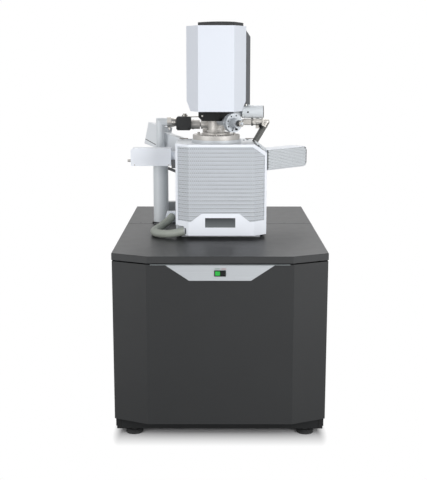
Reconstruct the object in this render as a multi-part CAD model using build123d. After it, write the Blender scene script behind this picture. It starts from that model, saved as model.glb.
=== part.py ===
from build123d import *
import math
import os

# Console, seen from above: its front bulges forward between two slanted corners.
console_width = 940.0
console_back = 705.0
console_front = 705.0
console_corner = 631.0
bulge_width = 624.0
table_height = 825.0
table_thickness = 30.0
table_edge = 1.5
table_seam = 125.0
seam_gap = 2.0
screw_radius = 5.0
screw_length = 12.0
table_screws_at = [(-404, 147), (334, 147), (434, 147), (-346, 140), (-233, 155)]

# Covers round the console, all folded from one sheet thickness.
sheet = 2.0
side_setback = 1.5
front_setback = 5.0
cover_gap = 6.0
cover_bottom = 72.0
flange_width = 28.0
side_flange = 15.0
louvre_rows = 14
louvre_width = 150.0
louvre_height = 6.0
louvre_pitch = 14.0
louvre_sides = (-190.0, 190.0)

# Base tray, frame tubes and feet.
skirt_bottom = 22.0
tray_setback = 10.0
tray_back_setback = 15.0
tray_front = -625.0
tray_wall = 3.0
tray_height = 49.5
tube = 40.0
tube_wall = 3.0
foot_radius = 38.0
foot_pad = 16.0
foot_stem = 9.0
foot_nut = 17.0
foot_nut_height = 4.0
foot_side = 383.0
foot_front = 602.0
foot_back = 640.0

# Silver inlay in the front cover, with the switch in it.
inlay_top_width = 472.0
inlay_bottom_width = 264.0
inlay_height = 69.0
inlay_top_rim = 1.0
inlay_gap = 0.5
inlay_lip = 8.0
switch_width = 50.0
switch_height = 27.0
switch_drop = 74.0
switch_depth = 20.0
switch_flange = 2.0
switch_wall = 2.0
button_width = 20.4
button_height = 18.4
button_depth = 13.0
button_proud = 3.0
button_between = 1.0
button_gap = 0.3

# Column axis, and the point that the stage tilts about.
column_x = -16.5
column_y = -119.0
tilt_drop = 82.0

# Specimen chamber.
chamber_left = -205.0
chamber_right = 216.0
chamber_front = -262.0
chamber_back = 90.0
chamber_rise = 21.0
chamber_height = 416.0
chamfer_width = 60.0
chamfer_height = 42.0
left_corner = 80.0
right_corner = 90.0
cavity_width = 340.0
cavity_x = -8.0
cavity_back = 10.0
cavity_floor = 34.0
cavity_roof = 30.0
boss_height = 14.0
boss_margin = 6.0

# Platform, air mounts and pump under the chamber.
platform_inset = 25.0
platform_thickness = 50.0
platform_gap = 8.0
mount_inset = 40.0
mount_radius = 38.0
mount_post = 26.0
mount_bellows = 110.0
pump_radius = 66.0
pump_flange = 80.0
pump_height = 230.0
rack_width = 640.0
rack_height = 520.0
rack_front = 200.0
rack_back = 640.0

# Door: a thick plate behind a thin faceted cover.
cover_left = -206.0
cover_right = 218.0
cover_rise = 18.0
cover_over = 3.0
cover_front = -316.0
cover_back = -262.6
facet_back = -268.0
facet_left = -145.0
facet_right = 158.0
cover_wall = 3.0
rim = 11.0
notch_width = 38.0
notch_height = 42.0
door_front = -303.0
door_gap = 0.5
door_side_gap = 10.0
spigot_radius = 16.0
door_facet_gap = 6.5
sill_rise = 103.0
sill_fall = 34.0
sill_flat = 88.0
sill_foot = 136.0
sill_x = 3.0
window_width = 140.0
window_rise = 38.0
window_height = 45.0
window_lip = 5.0
window_thickness = 3.0
grille_wall = 1.5
grille_lip = 6.0
row_pitch = 18.4
row_height = 9.0
row_margin = 7.0
seal_width = 7.0
seal_depth = 5.0
seal_inset = 7.0
guide_radius = 8.0
guide_length = 230.0
guide_gap = 0.1
guide_rise = 13.0
guide_left = -120.0
guide_right = 150.0

# Stage on the door: tilt cradle, lift, two cross slides and a turning holder.
hub_radius = 30.0
hub_length = 22.0
hub_gap = 0.1
stage_gap = 0.4
cradle_width = 120.0
cradle_thickness = 11.0
cradle_below = 148.0
cradle_above = 36.0
lift_width = 96.0
lift_thickness = 11.0
lift_top = 22.0
shelf_below = 88.0
shelf_thickness = 12.0
shelf_depth = 178.0
key_width = 20.0
key_height = 5.0
slide_width = 100.0
slide_thickness = 14.0
upper_slide_width = 90.0
upper_slide_thickness = 12.0
holder_radius = 30.0
holder_thickness = 12.0
holder_below = 32.0
holder_post = 5.5
bearing_radius = 14.0
stub_radius = 6.35
stub_thickness = 3.0
pin_radius = 1.6
pin_length = 8.0
pin_gap = 0.05

# Lens and column.
lens_tip = 10.0
lens_tip_radius = 15.0
lens_slope = 30.0
lens_radius = 58.0
lens_gap = 0.5
base_radius = 112.0
base_thickness = 23.0
bolt_circle = 98.0
bolt_radius = 6.0
bolt_head = 6.0
bolt_count = 6
neck_radius = 38.0
neck_foot = 66.0
neck_foot_height = 9.0
neck_shoulder = 12.0
neck_reach = 22.0
collar_left = -100.0
collar_right = 66.0
collar_front = -215.0
collar_back = 0.0
collar_rise = 67.0
collar_thickness = 39.0
collar_corner = 22.0
collar_step = 71.0
collar_slant = 95.0
core_radius = 54.0
core_waist = 40.0
core_coil = 90.0
core_gap = 30.0
core_head = 50.0
core_head_gap = 20.0
core_head_step = 10.0
core_pad_width = 44.0
core_pad_gap = 0.3

# Column casing, cap and rear spine.
casing_left = -156.0
casing_right = 122.0
casing_front = -250.0
casing_back = -60.0
casing_mid = -150.0
casing_face_left = -100.0
casing_face_right = 65.0
casing_gap = 5.0
casing_taper_height = 47.0
casing_taper_width = 19.0
casing_height = 389.0
casing_wall = 3.0
cap_height = 17.0
cap_rise = 4.0
cap_inset = 4.0
cap_right = 108.0
cap_turn = -175.0
spine_left = -92.0
spine_right = 145.0
spine_back = 10.0
spine_rise = 26.0
spine_drop = 6.0
spine_slope = 40.0
spine_slope_width = 27.0

# Pump line on the left: post on the table, elbow, clamp, valve and manifold.
post_x = -298.5
post_y = 148.0
post_radius = 38.0
post_joint_drop = 82.0
post_flange = 45.0
post_gap = 3.0
post_drop = 60.0
post_ring = 6.0
line_radius = 20.5
line_rise = 41.0
line_clamp = 30.0
elbow_end = -262.0
valve_left = -217.0
valve_right = -143.0
valve_width = 70.0
valve_drop = 40.0
valve_reach = 28.0
outlet_drop = 12.0
outlet_radius = 23.0
outlet_length = 44.0
outlet_neck = 12.0
manifold_left = -52.0
manifold_right = 30.0
manifold_front = -60.0
manifold_drop = 28.0
manifold_reach = 30.0
port_flange_radius = 30.0
port_flange_thickness = 9.0

# Right of the column: aperture holder, pump cylinder, pipe, clamp and hose.
aperture_angle = 30.0
aperture_reach = 166.0
aperture_drop = 6.0
aperture_radius = 43.0
aperture_thickness = 12.0
aperture_arm = 18.0
aperture_ring = 44.0
aperture_drum = 40.0
aperture_drum_length = 14.0
aperture_boss = 23.0
aperture_boss_length = 38.0
knob_radius = 14.0
knob_length = 26.0
knob_stem = 4.0
knob_gap = 0.05
side_knob_radius = 6.0
side_knob_length = 9.0
cylinder_left = 107.0
cylinder_right = 209.0
cylinder_radius = 30.5
cylinder_drop = 10.0
cylinder_y = -22.0
pipe_y = -40.0
pipe_rise = 12.0
pipe_radius = 15.0
pipe_turn = 226.0
elbow_stub = 24.0
clamp_left = 174.0
clamp_width = 18.0
sleeve_length = 58.0
clamp_radius = 18.0
clamp_drop = 31.0
bent_hose_lean = 30.6
bent_hose_radius = 13.5
bent_hose_rib = 1.5
bent_hose_ribs = 9

# Housings round the chamber.
left_box_left = -434.0
left_box_right = -237.0
left_box_front = -40.0
left_box_depth = 82.0
left_box_height = 85.0
left_box_drop = 39.0
left_box_corner = 10.0
left_port_radius = 34.0
left_knob_radius = 6.5
left_knob_length = 15.0
xray_turn = 52.0
xray_rise = 9.0
xray_roll = 8.0
xray_over = 22.0
xray_box_start = 445.0
xray_box_end = 550.0
xray_box_width = 80.0
xray_box_low = -70.0
xray_box_high = 44.0
xray_slot = 31.0
xray_slot_width = 3.0
xray_slot_depth = 2.0
xray_duct_width = 56.0
xray_duct_low = -45.0
xray_duct_high = 40.0
xray_flange = 36.0
xray_flange_thickness = 12.0
housing_start = 313.0
housing_length = 312.0
housing_width = 90.0
housing_height = 105.0
housing_drop = 54.0
housing_round = 24.0
housing_flange = 46.0
housing_groove = 4.0
housing_grooves = 11
shelf_plate = 4.0
shelf_plate_length = 62.0
shelf_plate_off = 9.0
shelf_plate_front = -205.0
shelf_plate_back = -105.0
hose_block_left = -262.0
hose_block_rise = 10.0
hose_block_height = 52.0
hose_block_front = -18.0
hose_block_back = 16.0

# Limp service hose from the clamp block to the door's notch.
hose_diameter = 38.0
# Route of the hose: x, y and height above the table.
hose_route = [
    (-238, -18, 60),
    (-238, -60, 60),
    (-262, -100, 43),
    (-292, -142, 26),
    (-306, -190, 22),
    (-290, -240, 25),
    (-252, -280, 30),
    (-212, -298, 37),
    (-177, -298, 37),
]
bend_share = 0.45

half_width = console_width / 2
chamber_bottom = table_height + chamber_rise
chamber_top = chamber_bottom + chamber_height
cavity_bottom = chamber_bottom + cavity_floor
cavity_top = chamber_top - cavity_roof
tilt_height = cavity_top - tilt_drop
cover_low = table_height + cover_rise
cover_high = chamber_top + cover_over
sill_top = cover_low + sill_rise
sill_side = sill_top - sill_fall
window_low = cover_low + window_rise
guide_low = chamber_bottom + guide_rise
post_joint = chamber_top - post_joint_drop
left_box_high = chamber_top - left_box_drop
left_box_low = left_box_high - left_box_height
xray_aim = tilt_height + xray_over
housing_high = chamber_top - housing_drop
housing_low = housing_high - housing_height
hose_block_low = chamber_bottom + hose_block_rise
hose_block_high = hose_block_low + hose_block_height
switch_z = table_height - switch_drop
hose_points = [(x, y, table_height + rise) for x, y, rise in hose_route]
tray_floor = skirt_bottom + tray_wall
cover_top = table_height - table_thickness - cover_gap
cover_side = half_width - side_setback
rail_top = table_height - table_thickness
platform_low = chamber_bottom - platform_thickness
cavity_left = cavity_x - cavity_width / 2
cavity_right = cavity_x + cavity_width / 2
base_low = chamber_top + boss_height
base_high = base_low + base_thickness
collar_low = base_high + collar_rise
collar_high = collar_low + collar_thickness
casing_low = collar_high + casing_gap
casing_taper = casing_low + casing_taper_height
casing_high = casing_low + casing_height
neck_top = casing_low + neck_reach
spine_low = casing_low + spine_rise
spine_high = casing_high - spine_drop
line_height = base_high + line_rise
outlet_height = line_height - outlet_drop
valve_low = line_height - valve_drop
valve_high = line_height + valve_reach
manifold_low = line_height - manifold_drop
manifold_high = line_height + manifold_reach
aperture_height = collar_low - aperture_drop
cylinder_height = casing_low - cylinder_drop
pipe_height = line_height + pipe_rise
door_back = chamber_front - door_gap
stage_back = door_back + stage_gap
lift_front = stage_back + cradle_thickness + stage_gap
shelf_front = lift_front + lift_thickness
shelf_top = tilt_height - shelf_below
aperture_way = Vector(math.sin(math.radians(aperture_angle)), -math.cos(math.radians(aperture_angle)), 0)
hose_way = Vector(-math.sin(math.radians(bent_hose_lean)), 0, -math.cos(math.radians(bent_hose_lean)))


def block(left, right, front, back, low, high):
    size = Box(right - left, back - front, high - low)
    return Pos((left + right) / 2, (front + back) / 2, (low + high) / 2) * size


def prism(outline, low, high):
    # A plan outline carried up from one height to another.
    face = make_face(Polyline(*outline, close=True))
    return extrude(Pos(0, 0, low) * face, high - low)


def upright(outline, front, back):
    # A front outline of (x, z) points carried from one depth to another.
    face = make_face(Polyline(*outline, close=True))
    plane = Plane(origin=(0, back, 0), x_dir=(1, 0, 0), z_dir=(0, -1, 0))
    return extrude(plane * face, back - front)


def turned(outline, x, y):
    # An outline of (radius, z) points turned about an upright axis.
    face = make_face(Polyline(*outline, close=True))
    return Pos(x, y, 0) * revolve(Plane.XZ * face, Axis.Z)


def rod(start, way, radius, length):
    plane = Plane(origin=start, z_dir=way)
    return plane * Cylinder(radius, length, align=(Align.CENTER, Align.CENTER, Align.MIN))


def beside(points, distance):
    # The same open outline, moved to its left by a distance.
    starts = [Vector(*p) for p in points]
    ways = [(b - a).normalized() for a, b in zip(starts, starts[1:])]
    sides = [Vector(-w.Y, w.X) * distance for w in ways]
    moved = [starts[0] + sides[0]]
    for i in range(1, len(ways)):
        a = starts[i - 1] + sides[i - 1]
        b = starts[i] + sides[i]
        reach = (b - a).cross(ways[i]).Z / ways[i - 1].cross(ways[i]).Z
        moved.append(a + ways[i - 1] * reach)
    moved.append(starts[-1] + sides[-1])
    return [(p.X, p.Y) for p in moved]


def folded(points, wall, low, high):
    # A sheet that follows an open plan outline, with its thickness on the left.
    inner = beside(points, wall)
    return prism(list(points) + inner[::-1], low, high)


def group(solids):
    return Compound(children=list(solids))


def bulged(half, corner, half_bulge, front, back):
    return [
        (half, back),
        (half, -corner),
        (half_bulge, -front),
        (-half_bulge, -front),
        (-half, -corner),
        (-half, back),
    ]


def levelling_feet():
    def foot():
        pad = turned([(0, 0), (foot_radius, 0), (foot_radius, foot_pad - 6), (foot_radius - 8, foot_pad),
                      (0, foot_pad)], 0, 0)
        stem = Pos(0, 0, foot_pad) * Cylinder(foot_stem, skirt_bottom - foot_pad,
                                             align=(Align.CENTER, Align.CENTER, Align.MIN))
        nut = Pos(0, 0, foot_pad) * extrude(RegularPolygon(foot_nut, 6), foot_nut_height)
        return pad + stem + nut
    places = [(x, y) for x in (-foot_side, foot_side) for y in (-foot_front, foot_back)]
    return group(Pos(x, y, 0) * foot() for x, y in places)


def tray_outline(inset):
    half = half_width - tray_setback - inset
    return [(-half, tray_front + inset), (half, tray_front + inset),
            (half, console_back - tray_back_setback - inset),
            (-half, console_back - tray_back_setback - inset)]


def base_tray():
    outer = prism(tray_outline(0), skirt_bottom, skirt_bottom + tray_height)
    inner = prism(tray_outline(tray_wall), tray_floor, skirt_bottom + tray_height + 1)
    front, back = frame_ends()
    side = cover_side - sheet
    notches = [block(x, x + tube, y, y + tube, tray_floor, cover_bottom)
               for x in (-side, side - tube) for y in (front, back - tube)]
    return outer - inner - notches


def frame_ends():
    # Outer faces of the frame tubes, where the covers' flanges seat.
    front = -console_corner + flange_width + 2 * sheet
    back = console_back - front_setback - 2 * sheet
    return front - sheet, back


def corner_posts():
    front, back = frame_ends()
    side = cover_side - sheet
    posts = []
    for x in (-side, side - tube):
        for y in (front, back - tube):
            outer = block(x, x + tube, y, y + tube, tray_floor, rail_top - tube)
            inner = block(x + tube_wall, x + tube - tube_wall, y + tube_wall, y + tube - tube_wall,
                          tray_floor - 1, rail_top)
            posts.append(outer - inner)
    return group(posts)


def top_rails():
    front, back = frame_ends()
    side = cover_side - sheet
    low = rail_top - tube
    rails = []
    for x in (-side, side - tube):
        outer = block(x, x + tube, front, back, low, rail_top)
        inner = block(x + tube_wall, x + tube - tube_wall, front - 1, back + 1,
                      low + tube_wall, rail_top - tube_wall)
        rails.append(outer - inner)
    for y in (front, back - tube):
        outer = block(tube - side, side - tube, y, y + tube, low, rail_top)
        inner = block(-side, side, y + tube_wall, y + tube - tube_wall, low + tube_wall,
                      rail_top - tube_wall)
        rails.append(outer - inner)
    return group(rails)


def inlay_outline(grow):
    top = cover_top - inlay_top_rim
    low = top - inlay_height
    return [
        (-inlay_top_width / 2 - grow, top),
        (inlay_top_width / 2 + grow, top),
        (inlay_bottom_width / 2 + grow, low - grow),
        (-inlay_bottom_width / 2 - grow, low - grow),
    ]


def front_cover():
    front = console_front - front_setback
    corner = console_corner
    seat = -corner + flange_width
    outline = bulged(cover_side, corner, bulge_width / 2 + 4, front, seat)
    outline = [(cover_side - flange_width, seat)] + outline + [(-cover_side + flange_width, seat)]
    cover = folded(outline[::-1], sheet, cover_bottom, cover_top)
    opening = upright(inlay_outline(inlay_gap), -front - 1, -front + sheet + 1)
    half = inlay_top_width / 2 + inlay_gap
    mouth = block(-half, half, -front - 1, -front + sheet + 1, cover_top - inlay_top_rim - 0.01,
                  cover_top + 1)
    return cover - opening - mouth


def inlay_plate():
    front = -(console_front - front_setback)
    plate = upright(inlay_outline(0), front, front + sheet)
    back = upright(inlay_outline(inlay_lip), front + sheet, front + 2 * sheet)
    half = switch_width / 2 - switch_wall + inlay_gap
    tall = switch_height / 2 - switch_wall + inlay_gap
    hole = block(-half, half, front - 1, front + 3 * sheet, switch_z - tall, switch_z + tall)
    return plate + back - hole


def switch_bezel():
    front = -(console_front - front_setback)
    half = switch_width / 2
    tall = switch_height / 2
    flange = block(-half, half, front - switch_flange, front, switch_z - tall, switch_z + tall)
    flange = fillet(flange.edges().filter_by(Axis.Y), 2.5)
    inner = half - switch_wall
    deep = tall - switch_wall
    body = block(-inner, inner, front, front + switch_depth, switch_z - deep, switch_z + deep)
    room = button_width + button_between / 2 + button_gap
    room_tall = button_height / 2 + button_gap
    cavity = block(-room, room, front - switch_flange - 1, front + switch_depth - switch_wall,
                   switch_z - room_tall, switch_z + room_tall)
    return flange + body - cavity


def push_button(side):
    front = -(console_front - front_setback) - switch_flange - button_proud
    x = side * (button_width + button_between) / 2
    cap = block(x - button_width / 2, x + button_width / 2, front, front + button_depth,
                switch_z - button_height / 2, switch_z + button_height / 2)
    return fillet(cap.faces().sort_by(Axis.Y)[0].edges(), 1.2)


def side_cover(side):
    front = -console_corner + flange_width + sheet
    back = console_back - front_setback - sheet
    outline = [(cover_side - side_flange, front - sheet), (cover_side, front - sheet),
               (cover_side, back), (cover_side - side_flange, back)]
    cover = folded(outline, sheet, cover_bottom, cover_top)
    return cover if side > 0 else mirror(cover, Plane.YZ)


def rear_cover():
    back = console_back - front_setback
    plate = block(-cover_side, cover_side, back - sheet, back, cover_bottom, cover_top)
    middle = (cover_bottom + cover_top) / 2
    slots = []
    for x in louvre_sides:
        for row in range(louvre_rows):
            z = middle + (row - (louvre_rows - 1) / 2) * louvre_pitch
            slots.append(block(x - louvre_width / 2, x + louvre_width / 2, back - 2 * sheet, back + sheet,
                               z - louvre_height / 2, z + louvre_height / 2))
    return plate - slots


def platform_box(grow, low, high):
    return block(chamber_left + platform_inset - grow, chamber_right - platform_inset + grow,
                 chamber_front + platform_inset - grow, chamber_back - platform_inset + grow, low, high)


def front_table_plate():
    outline = bulged(half_width, console_corner, bulge_width / 2, console_front, table_seam - seam_gap / 2)
    plate = prism(outline, table_height - table_thickness, table_height)
    plate = chamfer(plate.faces().sort_by(Axis.Z)[-1].edges(), table_edge)
    return plate - platform_box(platform_gap, 0, table_height + 1) - post_hole()


def rear_table_plate():
    plate = block(-half_width, half_width, table_seam + seam_gap / 2, console_back,
                  table_height - table_thickness, table_height)
    plate = chamfer(plate.faces().sort_by(Axis.Z)[-1].edges(), table_edge)
    holes = [Pos(x, y, table_height) * Cylinder(screw_radius + 0.2, 2 * screw_length + 0.6)
             for x, y in table_screws_at]
    return plate - holes - post_hole()


def post_hole():
    # The table is split where the pipe passes, so that both halves lift off past it.
    return rod((post_x, post_y, table_height - 2 * table_thickness), (0, 0, 1), post_radius + post_gap,
               3 * table_thickness)


def table_screws():
    def screw():
        head = Pos(0, 0, table_height - 0.3 - screw_length / 2) * Cylinder(screw_radius, screw_length)
        key = Pos(0, 0, table_height) * extrude(RegularPolygon(screw_radius / 2, 6), -4)
        return head - key
    return group(Pos(x, y, 0) * screw() for x, y in table_screws_at)


def platform_plate():
    return platform_box(0, platform_low, chamber_bottom)


def mount_places():
    inset = platform_inset + mount_inset
    for x in (chamber_left + inset, chamber_right - inset):
        for y in (chamber_front + inset, chamber_back - inset):
            yield x, y


def isolation_mounts():
    neck = platform_low - mount_bellows
    outline = [(0, tray_floor), (mount_radius, tray_floor), (mount_radius, tray_floor + 8),
               (mount_post, tray_floor + 8), (mount_post, neck), (mount_radius, neck),
               (mount_radius, neck + 14), (mount_radius - 6, neck + 20), (mount_radius, neck + 44),
               (mount_radius - 6, neck + 56), (mount_radius, neck + 80), (mount_radius - 6, neck + 92),
               (mount_radius - 6, platform_low), (0, platform_low)]
    return group(turned(outline, x, y) for x, y in mount_places())


def turbo_pump():
    x = (chamber_left + chamber_right) / 2
    y = (chamber_front + chamber_back) / 2
    top = platform_low
    outline = [(0, top), (pump_flange, top), (pump_flange, top - 14), (pump_radius - 8, top - 14)]
    for fin in range(5):
        z = top - 30 - fin * 26
        outline += [(pump_radius - 8, z), (pump_radius, z), (pump_radius, z - 10), (pump_radius - 8, z - 10)]
    outline += [(pump_radius - 8, top - pump_height + 40), (pump_radius - 20, top - pump_height + 40),
                (pump_radius - 20, top - pump_height), (0, top - pump_height)]
    return turned(outline, x, y)


def control_rack():
    case = block(-rack_width / 2, rack_width / 2, rack_front, rack_back, tray_floor,
                 tray_floor + rack_height)
    grooves = []
    units = 4
    for unit in range(1, units):
        z = tray_floor + unit * rack_height / units
        grooves.append(block(-rack_width, rack_width, rack_front - 1, rack_front + 3, z - 2, z + 2))
    return case - grooves


def chamber_prism(top):
    plan = [(chamber_left, chamber_front), (chamber_right, chamber_front),
            (chamber_right, chamber_back - right_corner), (chamber_right - right_corner, chamber_back),
            (chamber_left + left_corner, chamber_back), (chamber_left, chamber_back - left_corner)]
    return prism(plan, chamber_bottom, top)


def chamber_block():
    front = [(chamber_left, chamber_bottom), (chamber_right, chamber_bottom),
             (chamber_right, chamber_top - chamfer_height), (chamber_right - chamfer_width, chamber_top),
             (chamber_left, chamber_top)]
    return chamber_prism(chamber_top) & upright(front, chamber_front, chamber_back)


def chamber_body():
    body = chamber_block()
    boss = rod((column_x, column_y, chamber_top - 1), (0, 0, 1), base_radius + boss_margin, boss_height + 1)
    cavity = block(cavity_left, cavity_right, chamber_front - 1, cavity_back, cavity_bottom, cavity_top)
    lens_hole = rod((column_x, column_y, cavity_top - 1), (0, 0, 1), lens_radius + lens_gap, 60)
    body = body + boss - cavity - lens_hole
    for x in (guide_left, guide_right):
        hole = rod((x, chamber_front - 1, guide_low), (0, 1, 0), guide_radius + guide_gap, guide_length + 40)
        body -= hole
    return body


def cover_outline(inset):
    # Front view of the door: chamfered at the top right, notched at the bottom left.
    left = cover_left
    low = cover_low + inset
    high = cover_high - inset
    slope = chamfer_height / chamfer_width
    right = cover_right
    drop = inset * (math.hypot(slope, 1) - 1)
    notch_x = cover_left + notch_width + inset
    notch_z = cover_low + notch_height + inset
    return [
        (left, notch_z),
        (notch_x, notch_z),
        (notch_x, low),
        (right, low),
        (right, cover_high - chamfer_height - inset - drop),
        (cover_right - chamfer_width - drop / slope, high),
        (left, high),
    ]


def cover_plan():
    return [
        (cover_left, cover_back),
        (cover_left, facet_back),
        (facet_left, cover_front),
        (facet_right, cover_front),
        (cover_right, facet_back),
        (cover_right, cover_back),
    ]


def sill_outline(low):
    # The white sill under the grille: a raised middle with sloping shoulders.
    return [
        (cover_left - 10, sill_side),
        (sill_x - sill_foot, sill_side - 4),
        (sill_x - sill_flat, sill_top),
        (sill_x + sill_flat, sill_top),
        (sill_x + sill_foot, sill_side - 4),
        (cover_right + 10, sill_side),
        (cover_right + 10, low),
        (cover_left - 10, low),
    ]


def grille_opening(grow, front, back):
    left = cover_left + rim - grow
    right = cover_right - rim + grow
    high = cover_high - rim + grow
    cut = chamfer_height / chamfer_width
    outline = [
        (left, cover_low),
        (right, cover_low),
        (right, cover_high - chamfer_height - rim + grow),
        (right - (chamfer_height - 2) / cut, high),
        (left, high),
    ]
    body = upright(outline, front, back)
    sill = [(x, z - grow) for x, z in sill_outline(0)]
    return body - upright(sill, front - 1, back + 1)


def window_hole(grow, front, back):
    return block(-window_width / 2 - grow + 2, window_width / 2 + grow + 2, front, back,
                 window_low - grow, window_low + window_height + grow)


def door_shell(inset):
    plan = cover_plan()
    if inset:
        inner = beside(plan, inset)
        inner[0] = (inner[0][0], cover_back + 20)
        inner[-1] = (inner[-1][0], cover_back + 20)
        plan = inner
    body = prism(plan, cover_low - 1, cover_high + 1)
    return body & upright(cover_outline(inset), cover_front - 1, cover_back + 40)


def door_cover():
    shell = door_shell(0) - door_shell(cover_wall)
    shell -= grille_opening(0, cover_front - 1, facet_back - 3)
    edge = cover_left + notch_width + cover_wall
    shell -= block(cover_left + cover_wall, edge, hose_ledge(), 0, 0, cover_low + notch_height + cover_wall)
    end = Vector(*hose_points[-1])
    shell -= rod((end.X, end.Y, end.Z), (1, 0, 0), spigot_radius + lens_gap, 20)
    return shell - window_hole(0, cover_front - 1, cover_front + cover_wall + 1)


def display_window():
    front = cover_front + cover_wall
    return window_hole(window_lip, front, front + window_thickness)


def door_grille():
    # A perforated sheet behind the opening, on the front and both facets.
    band = door_shell(cover_wall) - door_shell(cover_wall + grille_wall)
    sheet_body = band & grille_opening(grille_lip, cover_front - 1, facet_back - 4)
    rows = []
    z = sill_top + row_pitch
    while z + row_height < cover_high - rim - 4:
        rows.append(block(facet_left + row_margin, facet_right - row_margin, cover_front - 5,
                          cover_front + 8, z, z + row_height))
        rows.append(block(cover_left + rim + row_margin, facet_left - row_margin, cover_front - 5,
                          facet_back + 5, z, z + row_height))
        if z + row_height < cover_high - chamfer_height - rim:
            rows.append(block(facet_right + row_margin, cover_right - rim - row_margin, cover_front - 5,
                              facet_back + 5, z, z + row_height))
        z += row_pitch
    return sheet_body - rows


def door_plate():
    wall = cover_wall + grille_wall
    plan = [
        (cover_left + door_side_gap, door_back),
        (cover_left + door_side_gap, facet_back - 0.5),
        (facet_left - door_facet_gap + 1.5, door_front),
        (facet_right + door_facet_gap - 1.5, door_front),
        (cover_right - door_side_gap, facet_back - 0.5),
        (cover_right - door_side_gap, door_back),
    ]
    outline = cover_outline(cover_wall)
    plate = prism(plan, cover_low, cover_high) & upright(outline, door_front - wall, door_back)
    low = cover_low + cover_wall
    foot = block(cover_left + door_side_gap, cover_left + notch_width + cover_wall, hose_ledge(), door_back,
                 low, low + notch_height)
    plate += foot
    groove = seal_ring(0.5, 1)
    bore = rod((column_x, door_back - hub_length - 1, tilt_height), (0, 1, 0), hub_radius + hub_gap,
               hub_length + 2)
    plate = plate - groove - bore
    spigot_x = cover_left + notch_width + cover_wall
    end = Vector(*hose_points[-1])
    spigot = rod((end.X, end.Y, end.Z), (1, 0, 0), spigot_radius, spigot_x - end.X + 4)
    return plate + spigot


def hose_ledge():
    # The door plate runs on behind the notch, so that its seal is backed all round.
    return hose_points[-1][1] + hose_diameter / 2 + lens_gap


def seal_ring(grow, proud):
    inner = seal_inset - seal_width / 2 - grow
    outer = seal_inset + seal_width / 2 + grow

    def loop(out):
        return block(cavity_left - out, cavity_right + out, door_back - seal_depth - grow,
                     door_back + proud, cavity_bottom - out, cavity_top + out - 2)
    return loop(outer) - loop(inner)


def door_seal():
    return seal_ring(0, door_gap - 0.1)


def door_guides():
    rods = []
    for x in (guide_left, guide_right):
        rods.append(rod((x, door_back, guide_low), (0, 1, 0), guide_radius, guide_length))
    return group(rods)


def stage_cradle():
    half = cradle_width / 2
    plate = block(column_x - half, column_x + half, stage_back, stage_back + cradle_thickness,
                  tilt_height - cradle_below, tilt_height)
    top = rod((column_x, stage_back, tilt_height), (0, 1, 0), cradle_above, cradle_thickness)
    hub = rod((column_x, stage_back - hub_length, tilt_height), (0, 1, 0), hub_radius, hub_length)
    key = block(column_x - key_width / 2, column_x + key_width / 2, stage_back + cradle_thickness,
                stage_back + cradle_thickness + key_height, tilt_height - cradle_below + 4,
                tilt_height - lift_top)
    return plate + top + hub + key


def stage_lift():
    half = lift_width / 2
    wall = block(column_x - half, column_x + half, lift_front, shelf_front,
                 shelf_top - shelf_thickness, tilt_height - lift_top)
    shelf = block(column_x - half, column_x + half, shelf_front, shelf_front + shelf_depth,
                  shelf_top - shelf_thickness, shelf_top)
    slot = key_width / 2 + stage_gap
    way = block(column_x - slot, column_x + slot, lift_front - 1,
                lift_front + key_height + stage_gap - stage_gap, 0, tilt_height)
    rail = block(column_x - half, column_x + half, column_y - key_width / 2, column_y + key_width / 2,
                 shelf_top, shelf_top + key_height)
    return wall + shelf + rail - way


def slide_x_table():
    half = slide_width / 2
    low = shelf_top + stage_gap
    body = block(column_x - half, column_x + half, column_y - half, column_y + half, low,
                 low + slide_thickness)
    slot = key_width / 2 + stage_gap
    way = block(column_x - half - 1, column_x + half + 1, column_y - slot, column_y + slot,
                low - 1, low + key_height)
    rail = block(column_x - key_width / 2, column_x + key_width / 2, column_y - half, column_y + half,
                 low + slide_thickness, low + slide_thickness + key_height)
    return body - way + rail


def slide_y_table():
    half = upper_slide_width / 2
    low = shelf_top + slide_thickness + 2 * stage_gap
    body = block(column_x - half, column_x + half, column_y - half, column_y + half,
                 low, low + upper_slide_thickness)
    slot = key_width / 2 + stage_gap
    way = block(column_x - slot, column_x + slot, column_y - half - 1, column_y + half + 1,
                low - 1, low + key_height)
    top = low + upper_slide_thickness
    pivot = rod((column_x, column_y, top), (0, 0, 1), bearing_radius / 2,
                tilt_height - holder_below - holder_thickness / 2 - top)
    return body - way + pivot


def specimen_holder():
    top = tilt_height - holder_below
    low = top - holder_thickness
    seat = shelf_top + slide_thickness + upper_slide_thickness + 3 * stage_gap
    disc = rod((column_x, column_y, low), (0, 0, 1), holder_radius, holder_thickness)
    sleeve = rod((column_x, column_y, seat), (0, 0, 1), bearing_radius, low - seat)
    post = rod((column_x, column_y, top), (0, 0, 1), holder_post, holder_below - stub_thickness)
    bore = rod((column_x, column_y, seat - 1), (0, 0, 1), bearing_radius / 2 + hub_gap,
               top - holder_thickness / 2 - seat + 1 + stage_gap)
    hole = rod((column_x, column_y, tilt_height - stub_thickness - pin_length - 1), (0, 0, 1),
               pin_radius + pin_gap, pin_length + 2)
    return disc + sleeve + post - bore - hole


def specimen_stub():
    head = rod((column_x, column_y, tilt_height - stub_thickness), (0, 0, 1), stub_radius, stub_thickness)
    pin = rod((column_x, column_y, tilt_height - stub_thickness - pin_length), (0, 0, 1), pin_radius,
              pin_length)
    return head + pin


def objective_lens():
    tip = tilt_height + lens_tip
    slope = math.tan(math.radians(lens_slope))
    shoulder = min(lens_radius - 2, lens_tip_radius + (cavity_top - tip) * slope)
    outline = [(0, tip), (lens_tip_radius, tip), (shoulder, cavity_top), (lens_radius, cavity_top + 2),
               (lens_radius, base_low), (0, base_low)]
    return turned(outline, column_x, column_y)


def column_base():
    outline = [(0, base_low), (base_radius, base_low), (base_radius, base_high - 3),
               (base_radius - 3, base_high), (0, base_high)]
    return turned(outline, column_x, column_y)


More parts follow.
